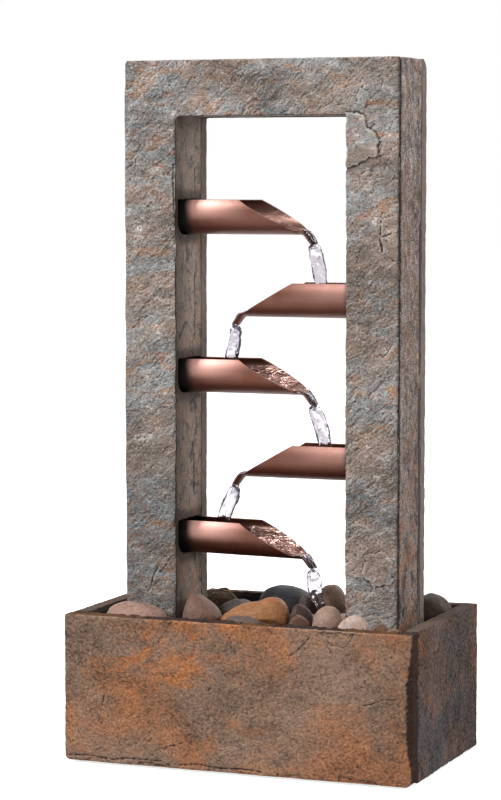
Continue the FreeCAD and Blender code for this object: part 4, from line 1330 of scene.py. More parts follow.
# ---- Basin -----------------------------------------------------------------
@dataclass
class Basin:
    """Four slate walls round a black liner, with the grid that carries the pebbles."""

    front: SlateFinish = SlateFinish(
        "rust_slate", ground=srgb(164, 114, 83), second=srgb(142, 116, 99), stain=srgb(181, 113, 67),
        pale=srgb(158, 142, 121), dark=srgb(110, 92, 90), cut=srgb(60, 45, 38), stain_share=0.56,
        pale_share=0.34, dark_share=0.6, cut_share=0.9, patches=13.0, turn=(0.0, 32.0, 0.0),
        stretch=(0.85, 1.0, 1.1), depth=0.9, ridge=0.4, ribs=0.0008, flakes=60.0,
        flake_depth=0.0014, grain=0.0009, line_share=0.6, pits=430.0, pit_share=0.85, contrast=1.05,
        grit=2.4, rim=srgb(122, 88, 62), rim_share=0.85, gloss=0.03, side_tone=0.95,
        heart=(-38.0, 86.0, 125.0),
    )
    side: SlateFinish = SlateFinish(
        "dusky_slate", ground=srgb(82, 64, 54), second=srgb(68, 62, 63), stain=srgb(110, 68, 47),
        pale=srgb(122, 110, 106), dark=srgb(36, 28, 24), cut=srgb(94, 80, 71), pale_share=0.3,
        dark_share=0.6, cut_share=0.7, patches=21.0, turn=(-20.0, 0.0, 0.0),
        stretch=(1.0, 0.55, 0.5), ridge=0.3, flakes=60.0, flake_depth=0.0040, grain=0.0022,
        contrast=3.0, grit=2.6, gloss=0.1, rim=srgb(112, 97, 89), rim_share=0.75,
    )
    liner: MouldedFinish = MouldedFinish(
        "liner_rubber", srgb(24, 24, 25), srgb(42, 41, 40), roughness=0.55, grain=0.00012
    )
    pads: MouldedFinish = MouldedFinish("pad_rubber", srgb(36, 36, 37), srgb(58, 57, 55), 0.8)
    grid: MouldedFinish = MouldedFinish("grid_plastic", srgb(33, 34, 35), srgb(56, 56, 54))
    low_corner: float = 5.0         # millimetres, as all lengths below
    side_corner: float = 4.0
    notch_width: float = 9.0
    notch_depth: float = 10.0

    def build(self) -> None:
        """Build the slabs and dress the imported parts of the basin."""
        self._front_slab()
        self._side_slabs()
        self._back_slab()
        dressed(self.side.material(), "basin_floor")
        dressed(self.liner.material(), "basin_liner")
        dressed(self.pads.material(), "foot_pads")
        dressed(
            self.grid.material(),
            "grid_panel_front", "grid_panel_middle", "grid_panel_back", "grid_posts",
        )

    def _front_slab(self) -> None:
        """Rust-coloured front with low relief, pits, scratches and a flaked foot."""
        plates = (
            Plate(((-84, 114), (-52, 115), (-58, 101), (-66, 93), (-76, 98)), 0.25, 0.6, 3.0),
            Plate(((-46, 103), (-32, 101), (-35, 88), (-44, 90)), 0.2, 0.5, 3.0),
            Plate(((66, 114), (96, 114), (90, 103), (76, 104)), -0.5, 0.3, 2.4),
            Plate(((-122, 5), (-104, 6), (-100, 2), (-124, 2)), -0.5, 0.3, 1.6),
            Plate(((-78, 6), (-52, 5), (-50, 2), (-80, 2)), -0.5, 0.3, 1.6),
            Plate(((-20, 5), (2, 6), (6, 2), (-22, 2)), -0.5, 0.3, 1.6),
            Plate(((34, 5), (52, 6), (55, 2), (32, 2)), -0.4, 0.3, 1.6),
            Plate(((84, 7), (112, 5), (116, 2), (82, 2)), -0.5, 0.3, 1.6),
        )
        cracks = (
            Crack(((-111, 35), (-109, 45), (-107, 54)), 0.4, 0.8),
            Crack(((99, 60), (108, 62), (117, 66), (128, 67)), 0.5, 0.9),
            Crack(((44, 94), (50, 98), (56, 104), (61, 110)), 0.5, 0.9),
            Crack(((70, 108), (76, 101), (79, 96)), 0.4, 0.8),
            Crack(((-61, 14), (-53, 19), (-48, 20), (-43, 22)), 0.4, 0.8),
            Crack(((-136, 6), (-118, 7), (-100, 5), (-88, 7), (-60, 7)), 0.6, 1.2),
            Crack(((-44, 5), (-30, 7), (-12, 5), (8, 6), (22, 5)), 0.6, 1.2),
        )
        Slab(
            "basin_front_slab", Facing.FRONT,
            Relief(
                swell=0.7, layers=1.0, layer_length=55.0, layer_width=32.0, scales=0.35,
                scale_length=12.0, scale_width=8.0, slant=24.0, grain=0.3, grain_length=2.0, seed=4.0,
            ),
            self.front.material(), "slate_basin",
            corners=(self.low_corner, self.low_corner, 0.0, 0.0), arris=(0.6, 0.9, 0.4, 1.1),
            ragged=(0.2, 0.5, 0.15, 0.5), plates=plates, cracks=cracks, cell=0.95, wall_cell=1.2,
            wall_rough=0.5, most=2.6, bevel=4.6,
        ).build()

    def _side_slabs(self) -> None:
        """Dusky side slabs with rust and bluish streaks."""
        material = self.side.material()
        relief = Relief(
            swell=0.6, layers=0.7, layer_count=4, layer_length=52.0, layer_width=20.0, scales=0.3,
            slant=52.0, grain=0.14,
        )
        for node, facing, seed in (
            ("basin_left_slab", Facing.LEFT, 7.0),
            ("basin_right_slab", Facing.RIGHT, 8.5),
        ):
            Slab(
                node, facing, replace(relief, seed=seed), material, "slate_basin_side", cell=1.2,
                corners=(0.0, self.side_corner, 0.0, 0.0), arris=(0.6, 0.9, 0.8, 1.0),
                ragged=(0.2, 0.3, 0.4, 0.4), most=2.2,
            ).build()

    def _back_slab(self) -> None:
        """Back slab with the cord's notch in its rim."""
        riser = sum(box_mm("riser_tube"), Vector()).x / 2
        rim = box_mm("basin_back_slab")[1].z
        half = self.notch_width / 2
        notch = Panel(
            riser - half, riser + half, rim - self.notch_depth, rim + half, (half, half, 0.0, 0.0)
        )
        Slab(
            "basin_back_slab", Facing.BACK,
            Relief(swell=0.6, layers=0.8, layer_count=4, scales=0.3, slant=30.0, seed=12.0),
            self.side.material(), "slate_basin_side", cell=1.3, holes=(notch,),
            arris=(0.5, 0.5, 1.2, 1.4), ragged=(0.1, 0.1, 0.5, 0.4), most=2.2,
        ).build()


# ---- Tower -----------------------------------------------------------------
@dataclass
class Tower:
    """The slate arch: riven front, plainer back, and sawn strips between them."""

    riven: SlateFinish = SlateFinish(
        "arch_slate", ground=srgb(150, 152, 153), second=srgb(152, 134, 122), stain=srgb(155, 110, 77),
        # its near-black cut edges are painted shade where the face meets the strips and the opening
        pale=srgb(207, 205, 203), dark=srgb(86, 76, 70), cut=srgb(24, 20, 18), stain_share=0.60,
        pale_share=0.57, dark_share=0.6, cut_share=0.95, patches=24.0, turn=(0.0, 36.0, 0.0),
        stretch=(0.66, 1.0, 1.3), depth=0.95, ridge=0.45, flakes=70.0, flake_depth=0.0030,
        grain=0.0012, line_share=0.8, pit_share=0.3, contrast=1.45, grit=1.5, foot_tone=(0.60, 1.10),
        side_tone=0.94,
    )
    back: SlateFinish = SlateFinish(
        "back_slate", ground=srgb(132, 122, 116), second=srgb(118, 108, 104), stain=srgb(142, 108, 84),
        pale=srgb(158, 150, 146), dark=srgb(88, 78, 74), cut=srgb(158, 142, 133), pale_share=0.35,
        patches=20.0, turn=(0.0, -30.0, 0.0), stretch=(0.7, 1.0, 1.3), depth=0.5, contrast=1.4,
    )
    outer: SawnSlateFinish = SawnSlateFinish(
        "outer_strip_slate", ground=srgb(167, 156, 152), streak=srgb(134, 111, 99),
        pale=srgb(189, 187, 187), rust=srgb(140, 92, 64), dark=srgb(58, 44, 38), contrast=2.9,
        stretch=0.6, grit=2.6,
    )
    inner: SawnSlateFinish = SawnSlateFinish(
        "inner_strip_slate", ground=srgb(182, 166, 155), streak=srgb(166, 149, 139),
        pale=srgb(196, 186, 180), rust=srgb(174, 134, 104), dark=srgb(72, 62, 57), crack_share=0.55,
        # painted shade towards the front edge
        shade_from=(8.0, -30.0), rust_height=0.7, contrast=1.2, stretch=0.6, grit=1.9,
    )
    sawn: Relief = Relief(
        swell=0.45, swell_length=60.0, layers=0.45, layer_count=3, layer_length=70.0,
        layer_width=9.0, scales=0.12, scale_length=16.0, scale_width=2.4, slant=90.0, grain=0.08,
        grain_length=2.0,
    )
    top_radius: float = 4.0         # millimetres, as all lengths below
    back_radius: float = 11.0
    notch_front: float = 8.0
    notch_back: float = 0.5
    notch_corner: float = 12.0
    hose_clearance: float = 1.5
    hose_corner: float = 7.5
    opening_below: float = 10.0     # how far the opening runs past the slab's foot

    def build(self) -> None:
        """Build all slabs and strips of the arch."""
        soffit_low, soffit_high = box_mm("lintel_soffit_strip")
        front_low = box_mm("tower_front_slab")[0]
        self.square_opening = Panel(
            soffit_low.x, soffit_high.x, front_low.z - self.opening_below, soffit_low.z
        )
        self.opening = replace(self.square_opening, corners=(0.0, 0.0, 0.0, self.top_radius))
        self._front_slab()
        self._back_slab()
        self._outer_strips()
        self._inner_strips()
        self._lintel_strips()

    def _front_slab(self) -> None:
        """Riven face with the flakes, scars and splits of this stone."""
        shelf = ((67, 497), (82, 494), (91, 480), (95, 474), (94, 466), (86, 460), (69, 454))
        scar = ((86, 165), (102, 168), (110, 156), (108, 143), (92, 140), (84, 150))
        plates = (
            Plate(shelf, 1.1, 0.35, 3.0),
            Plate(((80, 514), (87, 509), (86, 500), (82, 495), (76, 500)), 0.6, 0.3, 3.0),
            Plate(scar, 0.5, 0.3, 4.0),
            Plate(((95, 416), (111, 420), (111, 386), (99, 392)), 0.7, 0.2, 1.8),
            Plate(((-72, 458), (-69, 458), (-69, 420), (-71, 424)), -1.0, 0.3, 0.8),
        )
        cracks = (
            Crack(((-83, 143), (-77, 150), (-71, 159)), 0.8, 0.9),
            Crack(((-90, 133), (-88, 142), (-83, 149)), 0.8, 0.9),
            Crack(((97, 415), (96, 402), (98, 393)), 1.2, 0.9),
            Crack(((96, 403), (105, 406)), 0.9, 0.8),
        )
        Slab(
            "tower_front_slab", Facing.FRONT,
            Relief(
                swell=1.0, swell_length=50.0, layers=2.6, layer_count=6, layer_length=70.0,
                layer_width=25.0, scales=0.6, scale_length=15.0, scale_width=5.5, grain=0.42,
                grain_length=1.8, slant=42.0, seed=2.0,
            ),
            self.riven.material(), "slate_arch", holes=(self.opening,), cell=0.85,
            corners=(0.0, 0.0, 0.0, self.top_radius), arris=(0.3, 1.0, 0.3, 0.5),
            ragged=(0.1, 0.9, 0.1, 0.2), hole_arris=0.7, hole_ragged=0.9, plates=plates,
            cracks=cracks, wall_cell=1.2, most=3.4,
        ).build()

    def _back_slab(self) -> None:
        """Back face, its top edge worn round."""
        Slab(
            "tower_back_slab", Facing.BACK, Relief(seed=21.0, layers=1.2, slant=-30.0),
            self.back.material(), "slate_plain", cell=1.4, holes=(self.square_opening,),
            arris=(1.0, 1.0, 0.5, self.back_radius), ragged=(0.25, 0.25, 0.1, 0.15), hole_arris=0.4,
            hole_ragged=0.15, most=2.4,
        ).build()

    def _outer_strips(self) -> None:
        """Outer sides of the legs."""
        material = self.outer.material()
        # a groove along the joint with the front slab, darkened with painted shade
        joint = tuple((-27.0 + 0.7 * math.sin(step * 2.4), 534.0 - step * 26.0) for step in range(17))
        splits = (
            Crack(((19.9, 412), (19.5, 380), (20.0, 340), (19.6, 300)), 1.6, 3.8),
            Crack(((19.8, 286), (19.4, 240), (19.9, 190), (19.6, 130)), 1.6, 3.8),
            Crack(((14.0, 508), (13.2, 486), (14.6, 470)), 0.5, 0.8),
            Crack(joint, 1.4, 3.4),
        )
        for node, facing, seed in (
            ("left_leg_outer_strip", Facing.LEFT, 31.0),
            ("right_leg_outer_strip", Facing.RIGHT, 33.0),
        ):
            Slab(
                node, facing, replace(self.sawn, seed=seed), material, "slate_strip", cell=1.1,
                arris=(0.9, 0.7, 0.4, 1.0), ragged=(0.5, 0.15, 0.1, 0.3), most=1.6, cracks=splits,
            ).build()

    def _notches(self, spouts: tuple[str, ...]) -> tuple[Panel, ...]:
        """Notches of the spouts that one inner strip holds.

        Args:
            spouts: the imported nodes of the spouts.

        Returns:
            The notches in the strip's face.
        """
        corners = (self.notch_corner, self.notch_corner, 0.0, 0.0)
        boxes = (box_mm(node) for node in spouts)
        return tuple(
            Panel(
                low.y - self.notch_front, high.y + self.notch_back,
                high.z - TROUGH_HEIGHT - 0.1, high.z + 0.3, corners,
            )
            for low, high in boxes
        )

    def _inner_strips(self) -> None:
        """Inner sides of the legs, notched for the spouts."""
        material = self.inner.material()
        hose_low, hose_high = box_mm("supply_hose")
        free = self.hose_clearance
        hose = Panel(
            hose_low.y - free, hose_high.y + free, hose_low.z - free, hose_high.z + free,
            (self.hose_corner,) * 4,
        )
        cracks = (
            Crack(((9.0, 372), (9.5, 350), (8.6, 322)), 0.9, 1.5),
            Crack(((7.0, 232), (7.6, 214), (6.8, 204)), 1.1, 2.2),
            Crack(((7.4, 165), (7.0, 150)), 1.0, 1.8),
            Crack(((9.4, 455), (9.8, 436)), 0.8, 1.4),
        )
        left = self._notches(("spout_1", "spout_3", "spout_5")) + (hose,)
        right = self._notches(("spout_2", "spout_4"))
        # the spouts' notches get painted shade round them
        for node, facing, holes, splits, painted_root_shade, seed in (
            ("left_leg_inner_strip", Facing.RIGHT, left, cracks, 13.0, 35.0),
            ("right_leg_inner_strip", Facing.LEFT, right, (), 5.0, 37.0),
        ):
            Slab(
                node, facing, replace(self.sawn, seed=seed), material, "slate_strip", cell=1.1,
                holes=holes, arris=(0.4, 0.2, 0.3, 0.3), ragged=(0.2, 0.1, 0.1, 0.1),
                hole_arris=0.4, hole_ragged=0.15, most=1.4, hole_shade_reach=painted_root_shade, cracks=splits,
            ).build()

    def _lintel_strips(self) -> None:
        """Top and soffit of the lintel."""
        material = self.inner.material()
        rubbed = Relief(swell=0.5, layers=0.5, layer_count=3, scales=0.2, slant=8.0, grain=0.1)
        for node, facing, seed in (
            ("lintel_top_strip", Facing.UP, 39.0),
            ("lintel_soffit_strip", Facing.DOWN, 40.0),
        ):
            Slab(
                node, facing, replace(rubbed, seed=seed), material, "slate_strip", cell=1.5,
                arris=(0.4, 0.4, 0.5, 0.5), ragged=(0.1, 0.1, 0.1, 0.1), most=1.4,
            ).build()


# ---- Spouts ----------------------------------------------------------------
@dataclass
class Spout:
    """Copper tube cut open along its top, slanted at its free end, with a bent lip; millimetres."""

    index: int
    lip_length: float
    skew: float = 0.0               # how far the slanted cut leans to one side
    fall: float = 0.0               # degrees
    wetness: float = 1.0
    dents: float = 0.12
    radius: float = 17.5
    wall: float = 1.0
    height: float = TROUGH_HEIGHT
    insertion: float = 12.0
    slant_start: float = 49.0
    slant_end: float = 91.0
    slant_foot: float = 2.4
    lip_half_width: float = 10.0
    lip_tip_half_width: float = 7.0
    bend_radius: float = 4.0
    bend_angle: float = 52.0        # degrees
    lip_turns: int = 10             # steps of the bend
    lip_steps: int = 8              # steps of the straight part after it
    splash_from: float = 30.0       # where the water from above first lands
    splash_length: float = 14.0
    cells_along: int = 110
    cells_round: int = 72

    def __post_init__(self) -> None:
        """Read the spout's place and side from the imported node."""
        self.node = "spout_%d" % self.index
        low, high = box_mm(self.node)
        self.side = 1.0 if low.x < -abs(high.x) else -1.0
        inner = "left_leg_inner_strip" if self.side > 0 else "right_leg_inner_strip"
        strip_low, strip_high = box_mm(inner)
        self.root_x = strip_high.x if self.side > 0 else strip_low.x
        self.axis_y = (low.y + high.y) / 2
        self.foot_z = high.z - self.height
        if self.fall:
            self.foot_z -= self.insertion * math.sin(math.radians(self.fall))

    def end_of(self, angle: float) -> float:
        """Where the slanted cut ends the wall.

        Args:
            angle: the place round the tube from its lowest line, in radians.

        Returns:
            The distance from the leg, in millimetres.
        """
        level = self.radius * (1.0 - math.cos(angle))
        slope = (self.slant_end - self.slant_start) / (self.height - self.slant_foot)
        end = self.slant_end - slope * max(0.0, level - self.slant_foot)
        return end + self.skew * self.radius * math.sin(angle)

    def placing(self) -> Matrix:
        """Matrix from the spout's own millimetres, leg face at 0 and end at +X, to the frame.

        Returns:
            The matrix.
        """
        fall = Matrix.Rotation(math.radians(self.fall), 4, "Y")
        place = Matrix.Translation((self.root_x, self.axis_y, self.foot_z))
        mirror = Matrix.Diagonal((self.side, 1.0, 1.0, 1.0))
        return Matrix.Scale(MM, 4) @ place @ mirror @ fall

    def build(self, material: Material) -> None:
        """Roll the sheet, bend the lip and give the wall its thickness.

        Args:
            material: the copper.
        """
        bm = bmesh.new()
        bmesh.ops.create_grid(bm, x_segments=self.cells_along, y_segments=self.cells_round, size=0.5)
        most = math.acos(1.0 - self.height / self.radius)
        tip = []
        for vert in bm.verts:
            along, angle = vert.co.x + 0.5, 2.0 * vert.co.y * most
            reach = -self.insertion + (self.end_of(angle) + self.insertion) * along
            dent = fractal(reach / 26.0, angle * 0.9, self.index * 7.3, 1.0, 2.0, 2)
            radius = self.radius - self.dents * half_range(dent)
            side = radius * math.sin(angle)
            if along > 0.999 and abs(side) <= self.lip_half_width and abs(angle) < 1.0:
                tip.append(vert)
            vert.co = (reach, side, self.radius - radius * math.cos(angle))
        self._bend_lip(bm, tip)
        bmesh.ops.recalc_face_normals(bm, faces=bm.faces)
        outer = next(face for face in bm.faces if face.calc_center_median().x < 0.0)
        middle = outer.calc_center_median()
        if outer.normal.dot(Vector((0.0, middle.y, middle.z - self.radius))) < 0.0:
            bmesh.ops.reverse_faces(bm, faces=bm.faces)
        bmesh.ops.solidify(bm, geom=bm.faces[:], thickness=self.wall)
        self._wet(bm)
        bmesh.ops.transform(bm, matrix=self.placing(), verts=bm.verts)
        bmesh.ops.recalc_face_normals(bm, faces=bm.faces)
        finished(self.node + "_copper", bm, material, [self.node], 50.0)

    def _wet(self, bm: BMesh) -> None:
        """Mark the inside where water runs, from the splash to the lip.

        Args:
            bm: the spout's shape in its own millimetres.
        """
        wet_layer = bm.verts.layers.float.new("wet")
        for vert in bm.verts:
            away = math.hypot(vert.co.y, self.radius - vert.co.z)
            inside = smooth_step(self.radius - 0.3 * self.wall, self.radius - 0.8 * self.wall, away)
            splash = smooth_step(self.splash_from, self.splash_from + self.splash_length, vert.co.x)
            high = smooth_step(self.height - 1.0, self.height - 9.0, vert.co.z)
            vert[wet_layer] = inside * splash * high * self.wetness

    def _bend_lip(self, bm: BMesh, tip: list[BMVert]) -> None:
        """Draw the lip out of the lowest part of the slanted end.

        Args:
            bm: the spout's sheet in its own millimetres.
            tip: the points of the end that the lip grows from.
        """
        members = set(tip)
        edges = [edge for edge in bm.edges if edge.is_boundary and members.issuperset(edge.verts)]
        bent = math.radians(self.bend_angle)
        turn = Matrix.Rotation(bent / self.lip_turns, 3, "Y")
        advance = self.lip_length / self.lip_steps
        push = (advance * math.cos(bent), 0.0, -advance * math.sin(bent))
        pivot = Vector((self.slant_end, 0.0, -self.bend_radius))
        rounds = self.lip_turns + self.lip_steps
        narrow = (self.lip_tip_half_width / self.lip_half_width) ** (1.0 / rounds)
        for step in range(rounds):
            verts, edges = grown(bm, edges)
            if step < self.lip_turns:
                bmesh.ops.rotate(bm, cent=pivot, matrix=turn, verts=verts)
            else:
                bmesh.ops.translate(bm, vec=push, verts=verts)
            bmesh.ops.scale(bm, vec=(1.0, narrow, 1.0), verts=verts)


@dataclass
class WaterLineInside:
    """End caps, sealant beds, hose and riser inside the left leg."""

    seal: MouldedFinish = MouldedFinish("sealant", srgb(172, 168, 160), srgb(196, 192, 184), 0.6)
    elbow: MouldedFinish = MouldedFinish("fitting_plastic", srgb(38, 39, 41), srgb(66, 66, 64))
    hose: ClearFinish = ClearFinish(
        "hose_clear", body=srgb(214, 222, 222), line=srgb(150, 160, 160), ior=1.45, roughness=0.12,
        ripple=0.0002,
    )

    def build(self, copper: Material) -> None:
        """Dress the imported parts.

        Args:
            copper: the spouts' material, which their end caps share.
        """
        dressed(copper, "spout_1_inlet_cap", "spout_end_caps")
        dressed(self.seal.material(), "spout_saddles")
        dressed(self.hose.material(), "supply_hose", "riser_tube")
        dressed(self.elbow.material(), "pump_elbow", "riser_lower_elbow", "riser_upper_elbow")


@dataclass
class Pump:
    """Small submersible pump: housing, lid, rotor on its shaft, intake cover and flow dial."""

    shell: MouldedFinish = MouldedFinish("pump_shell", srgb(30, 32, 35), srgb(58, 60, 62), 0.42)
    trim: MouldedFinish = MouldedFinish("pump_trim", srgb(52, 55, 58), srgb(84, 86, 88), 0.38)
    feet: MouldedFinish = MouldedFinish("pump_feet", srgb(46, 46, 47), srgb(72, 70, 68), 0.75)
    magnet: MouldedFinish = MouldedFinish("rotor_magnet", srgb(58, 56, 60), srgb(96, 94, 98), 0.35)
    shaft: MouldedFinish = MouldedFinish(
        "shaft_ceramic", srgb(226, 222, 212), srgb(240, 238, 232), 0.2
    )

    def build(self) -> None:
        """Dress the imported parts."""
        dressed(self.shell.material(), "pump_housing", "pump_chamber_lid", "pump_cable_gland")
        dressed(self.trim.material(), "pump_intake_cover", "pump_flow_dial")
        dressed(self.feet.material(), "pump_feet")
        dressed(self.magnet.material(), "pump_rotor")
        dressed(self.shaft.material(), "pump_shaft")


# ---- Pebbles ---------------------------------------------------------------
def solid_boxes(node: str) -> list[tuple[Vector, Vector]]:
    """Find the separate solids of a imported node.

    Args:
        node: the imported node.

    Returns:
        Their boxes in metres, from left to right.
    """
    bm = bmesh.new()
    bm.from_mesh(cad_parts[node].data)
    bmesh.ops.remove_doubles(bm, verts=bm.verts, dist=0.00001)
    boxes, seen = [], set()
    for start in bm.verts:
        if start in seen:
            continue
        group, queue = [], [start]
        seen.add(start)
        while queue:
            vert = queue.pop()
            group.append(vert.co.copy())
            joined = {edge.other_vert(vert) for edge in vert.link_edges} - seen
            seen |= joined
            queue.extend(joined)
        boxes.append(extent(group))
    bm.free()
    return sorted(boxes, key=lambda box: (round(box[0].x, 4), round(box[0].y, 4)))


@dataclass(frozen=True)
class Stone:
    """One river pebble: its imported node, finish and worn form."""

    node: str
    finish: str
    slot: str
    seed: float
    egg: float = 0.1                # how much fuller its right end is
    square: float = 2.3             # 2 is a plain oval, more is boxier
    lumps: float = 0.10
    facets: int = 4
    lean: float = 0.0               # degrees that the long way tips, right end up
    saddle: float = 0.0             # depth of the dip across its back, a share of its height

    def point(self, way: Vector, cuts: list[tuple[Vector, float]]) -> Vector:
        """Place of the skin in a direction, on a stone of about unit radius.

        Args:
            way: the direction, of length 1.
            cuts: the flats' directions and their distances from the middle.

        Returns:
            The place.
        """
        power = self.square
        size = sum(abs(part) ** power for part in way) ** (-1.0 / power)
        spot = way * size
        full = 1.0 + self.egg * spot.x
        spot = Vector((spot.x, spot.y * (0.7 + 0.3 * full), spot.z * full))
        wave = fractal(way.x * 1.1 + self.seed, way.y * 1.1, way.z * 1.1, 1.0, 2.0, 2)
        spot *= 1.0 + self.lumps * wave
        for normal, reach in cuts:
            over = spot.dot(normal) - reach
            if over > 0.0:
                spot -= normal * over * 0.75
        if self.saddle and spot.z > 0.0:
            spot.z *= 1.0 - self.saddle * math.exp(-((spot.x - 0.12) / 0.34) ** 2)
        skin = fractal(way.x * 9.0, way.y * 9.0 + self.seed, way.z * 9.0, 0.9, 2.0, 3)
        return spot * (1.0 + 0.006 * skin)

    def build(self, name: str, low: Vector, high: Vector, material: Material) -> None:
        """Shape the stone and fit it into its box.

        Args:
            name: the piece's name.
            low: lowest corner of its box in metres.
            high: highest corner.
            material: its material.
        """
        draw = random.Random(int(self.seed * 100))
        cuts = []
        for _ in range(self.facets):
            normal = Vector([draw.uniform(-1.0, 1.0) for _ in range(3)]).normalized()
            cuts.append((normal, draw.uniform(0.72, 0.9)))
        bm = bmesh.new()
        rounds = 5 if (high - low).length < SMALL_STONE else 6
        bmesh.ops.create_icosphere(bm, subdivisions=rounds, radius=1.0)
        for vert in bm.verts:
            vert.co = self.point(vert.co.normalized(), cuts)
        size = high - low
        bmesh.ops.scale(bm, vec=size / 2, verts=bm.verts)
        tip = Matrix.Rotation(math.radians(-self.lean), 3, "Y")
        bmesh.ops.rotate(bm, cent=(0.0, 0.0, 0.0), matrix=tip, verts=bm.verts)
        bottom, top = extent(vert.co for vert in bm.verts)
        fit = Vector([size[i] / (top[i] - bottom[i]) for i in range(3)])
        bmesh.ops.translate(bm, vec=-(bottom + top) / 2, verts=bm.verts)
        bmesh.ops.scale(bm, vec=fit, verts=bm.verts)
        bmesh.ops.translate(bm, vec=(low + high) / 2, verts=bm.verts)
        finished(name, bm, material, [self.node], 80.0)


@dataclass
class PebbleBed:
    """River pebbles on the grid, from wall to wall."""

    finishes: tuple[tuple, ...] = (     # name, colour, second, band, band's share, speckle
        ("tan", (160, 129, 114), (142, 110, 96), (184, 158, 142), 0.3, 0.35),
        ("brown_pink", (126, 96, 82), (112, 84, 74), (146, 112, 92), 0.3, 0.35),
        ("orange", (166, 113, 72), (140, 92, 60), (194, 146, 104), 0.45, 0.4),
        ("plum", (100, 84, 78), (88, 72, 68), (126, 106, 96), 0.35, 0.45),
        ("brown", (104, 70, 50), (82, 56, 44), (134, 98, 74), 0.3, 0.3),
        ("dark", (72, 52, 44), (56, 44, 40), (116, 84, 66), 0.3, 0.4),
        ("beige", (166, 138, 122), (146, 116, 102), (186, 160, 144), 0.35, 0.45),
        ("cream", (204, 180, 170), (184, 152, 138), (230, 212, 204), 0.4, 0.3),
        ("slate_blue", (72, 72, 78), (60, 60, 66), (92, 92, 98), 0.3, 0.35),
        ("grey", (96, 85, 80), (80, 71, 68), (120, 106, 98), 0.35, 0.45),
        ("rough", (106, 82, 62), (56, 44, 38), (190, 166, 138), 0.75, 0.8, 0.7, 0.0012),
        ("umber", (150, 122, 104), (128, 102, 86), (172, 146, 126), 0.3, 0.4),
    )
    seed_step: float = 1.7          # between stones that share a node
    many: int = 3                   # a node of this many stones or more takes mixed finishes
    mixed: tuple[str, ...] = ("plum", "grey", "umber", "beige", "dark", "brown", "brown_pink")

    def stones(self) -> tuple[Stone, ...]:
        """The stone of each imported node, by its seed, egg, squareness, lumps, facets and lean."""
        return (
            Stone("pebble_front_left", "tan", "pebble_tan", 1.3, -0.1, 2.15, 0.05, 2),
            Stone("pebble_by_left_leg", "brown_pink", "pebble_brown", 2.7, -0.6, 2.2, 0.04, 1, -6.0),
            Stone("pebble_saddle", "orange", "pebble_orange", 3.1, 0.42, 2.2, 0.04, 1, 8.0, 0.17),
            Stone("pebble_flat_front", "plum", "pebble_brown", 4.9, 0.0, 2.4, 0.06),
            Stone("pebble_brown_front", "brown", "pebble_brown", 5.2, -0.2, 2.7, 0.05, 2, -9.0),
            Stone("pebble_dark_middle", "dark", "pebble_dark", 6.4, -0.25, 2.7, 0.05, 2, -9.0),
            Stone("pebble_tan_front", "beige", "pebble_tan", 7.8, 0.05, 2.2, 0.05, 2),
            Stone("pebble_cream_front", "cream", "pebble_cream", 8.6, 0.15, 2.1, 0.06, 3, -8.0),
            Stone("pebble_blue_back", "slate_blue", "pebble_blue", 9.5, -0.1, 2.2, 0.05, 2),
            Stone("pebble_grey_middle", "grey", "pebble_grey", 10.1, 0.1, 2.3),
            Stone("pebble_rough_back", "rough", "pebble_dark", 11.4, 0.1, 2.6, 0.26, 9),
            Stone("pebble_tall_back", "umber", "pebble_brown", 12.3, 0.0, 2.1, 0.05, 2),
            Stone("pebble_upright", "dark", "pebble_dark", 13.7, 0.0, 2.2, 0.06, 3),
            Stone("pebble_right_corner", "dark", "pebble_dark", 14.2, -0.1, 2.1, 0.06, 3),
            Stone("pebbles_back", "umber", "pebble_brown", 15.6, 0.1, 2.3),
            Stone("pebbles_small", "brown_pink", "pebble_brown", 17.9, 0.1, 2.3),
        )

    def build(self) -> None:
        """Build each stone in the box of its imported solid."""
        finishes = {
            name: PebbleFinish("pebble_" + name, srgb(*colour), srgb(*second), srgb(*band), *numbers)
            for name, colour, second, band, *numbers in self.finishes
        }
        made: dict[str, Material] = {}
        for stone in self.stones():
            boxes = solid_boxes(stone.node)
            for number, (low, high) in enumerate(boxes):
                mixed = self.mixed[number % len(self.mixed)]
                finish = stone.finish if len(boxes) < self.many else mixed
                if finish not in made:
                    made[finish] = finishes[finish].material()
                name = stone.node + ("_%d" % (number + 1) if len(boxes) > 1 else "") + "_stone"
                one = replace(stone, seed=stone.seed + number * self.seed_step)
                one.build(name, low, high, made[finish])


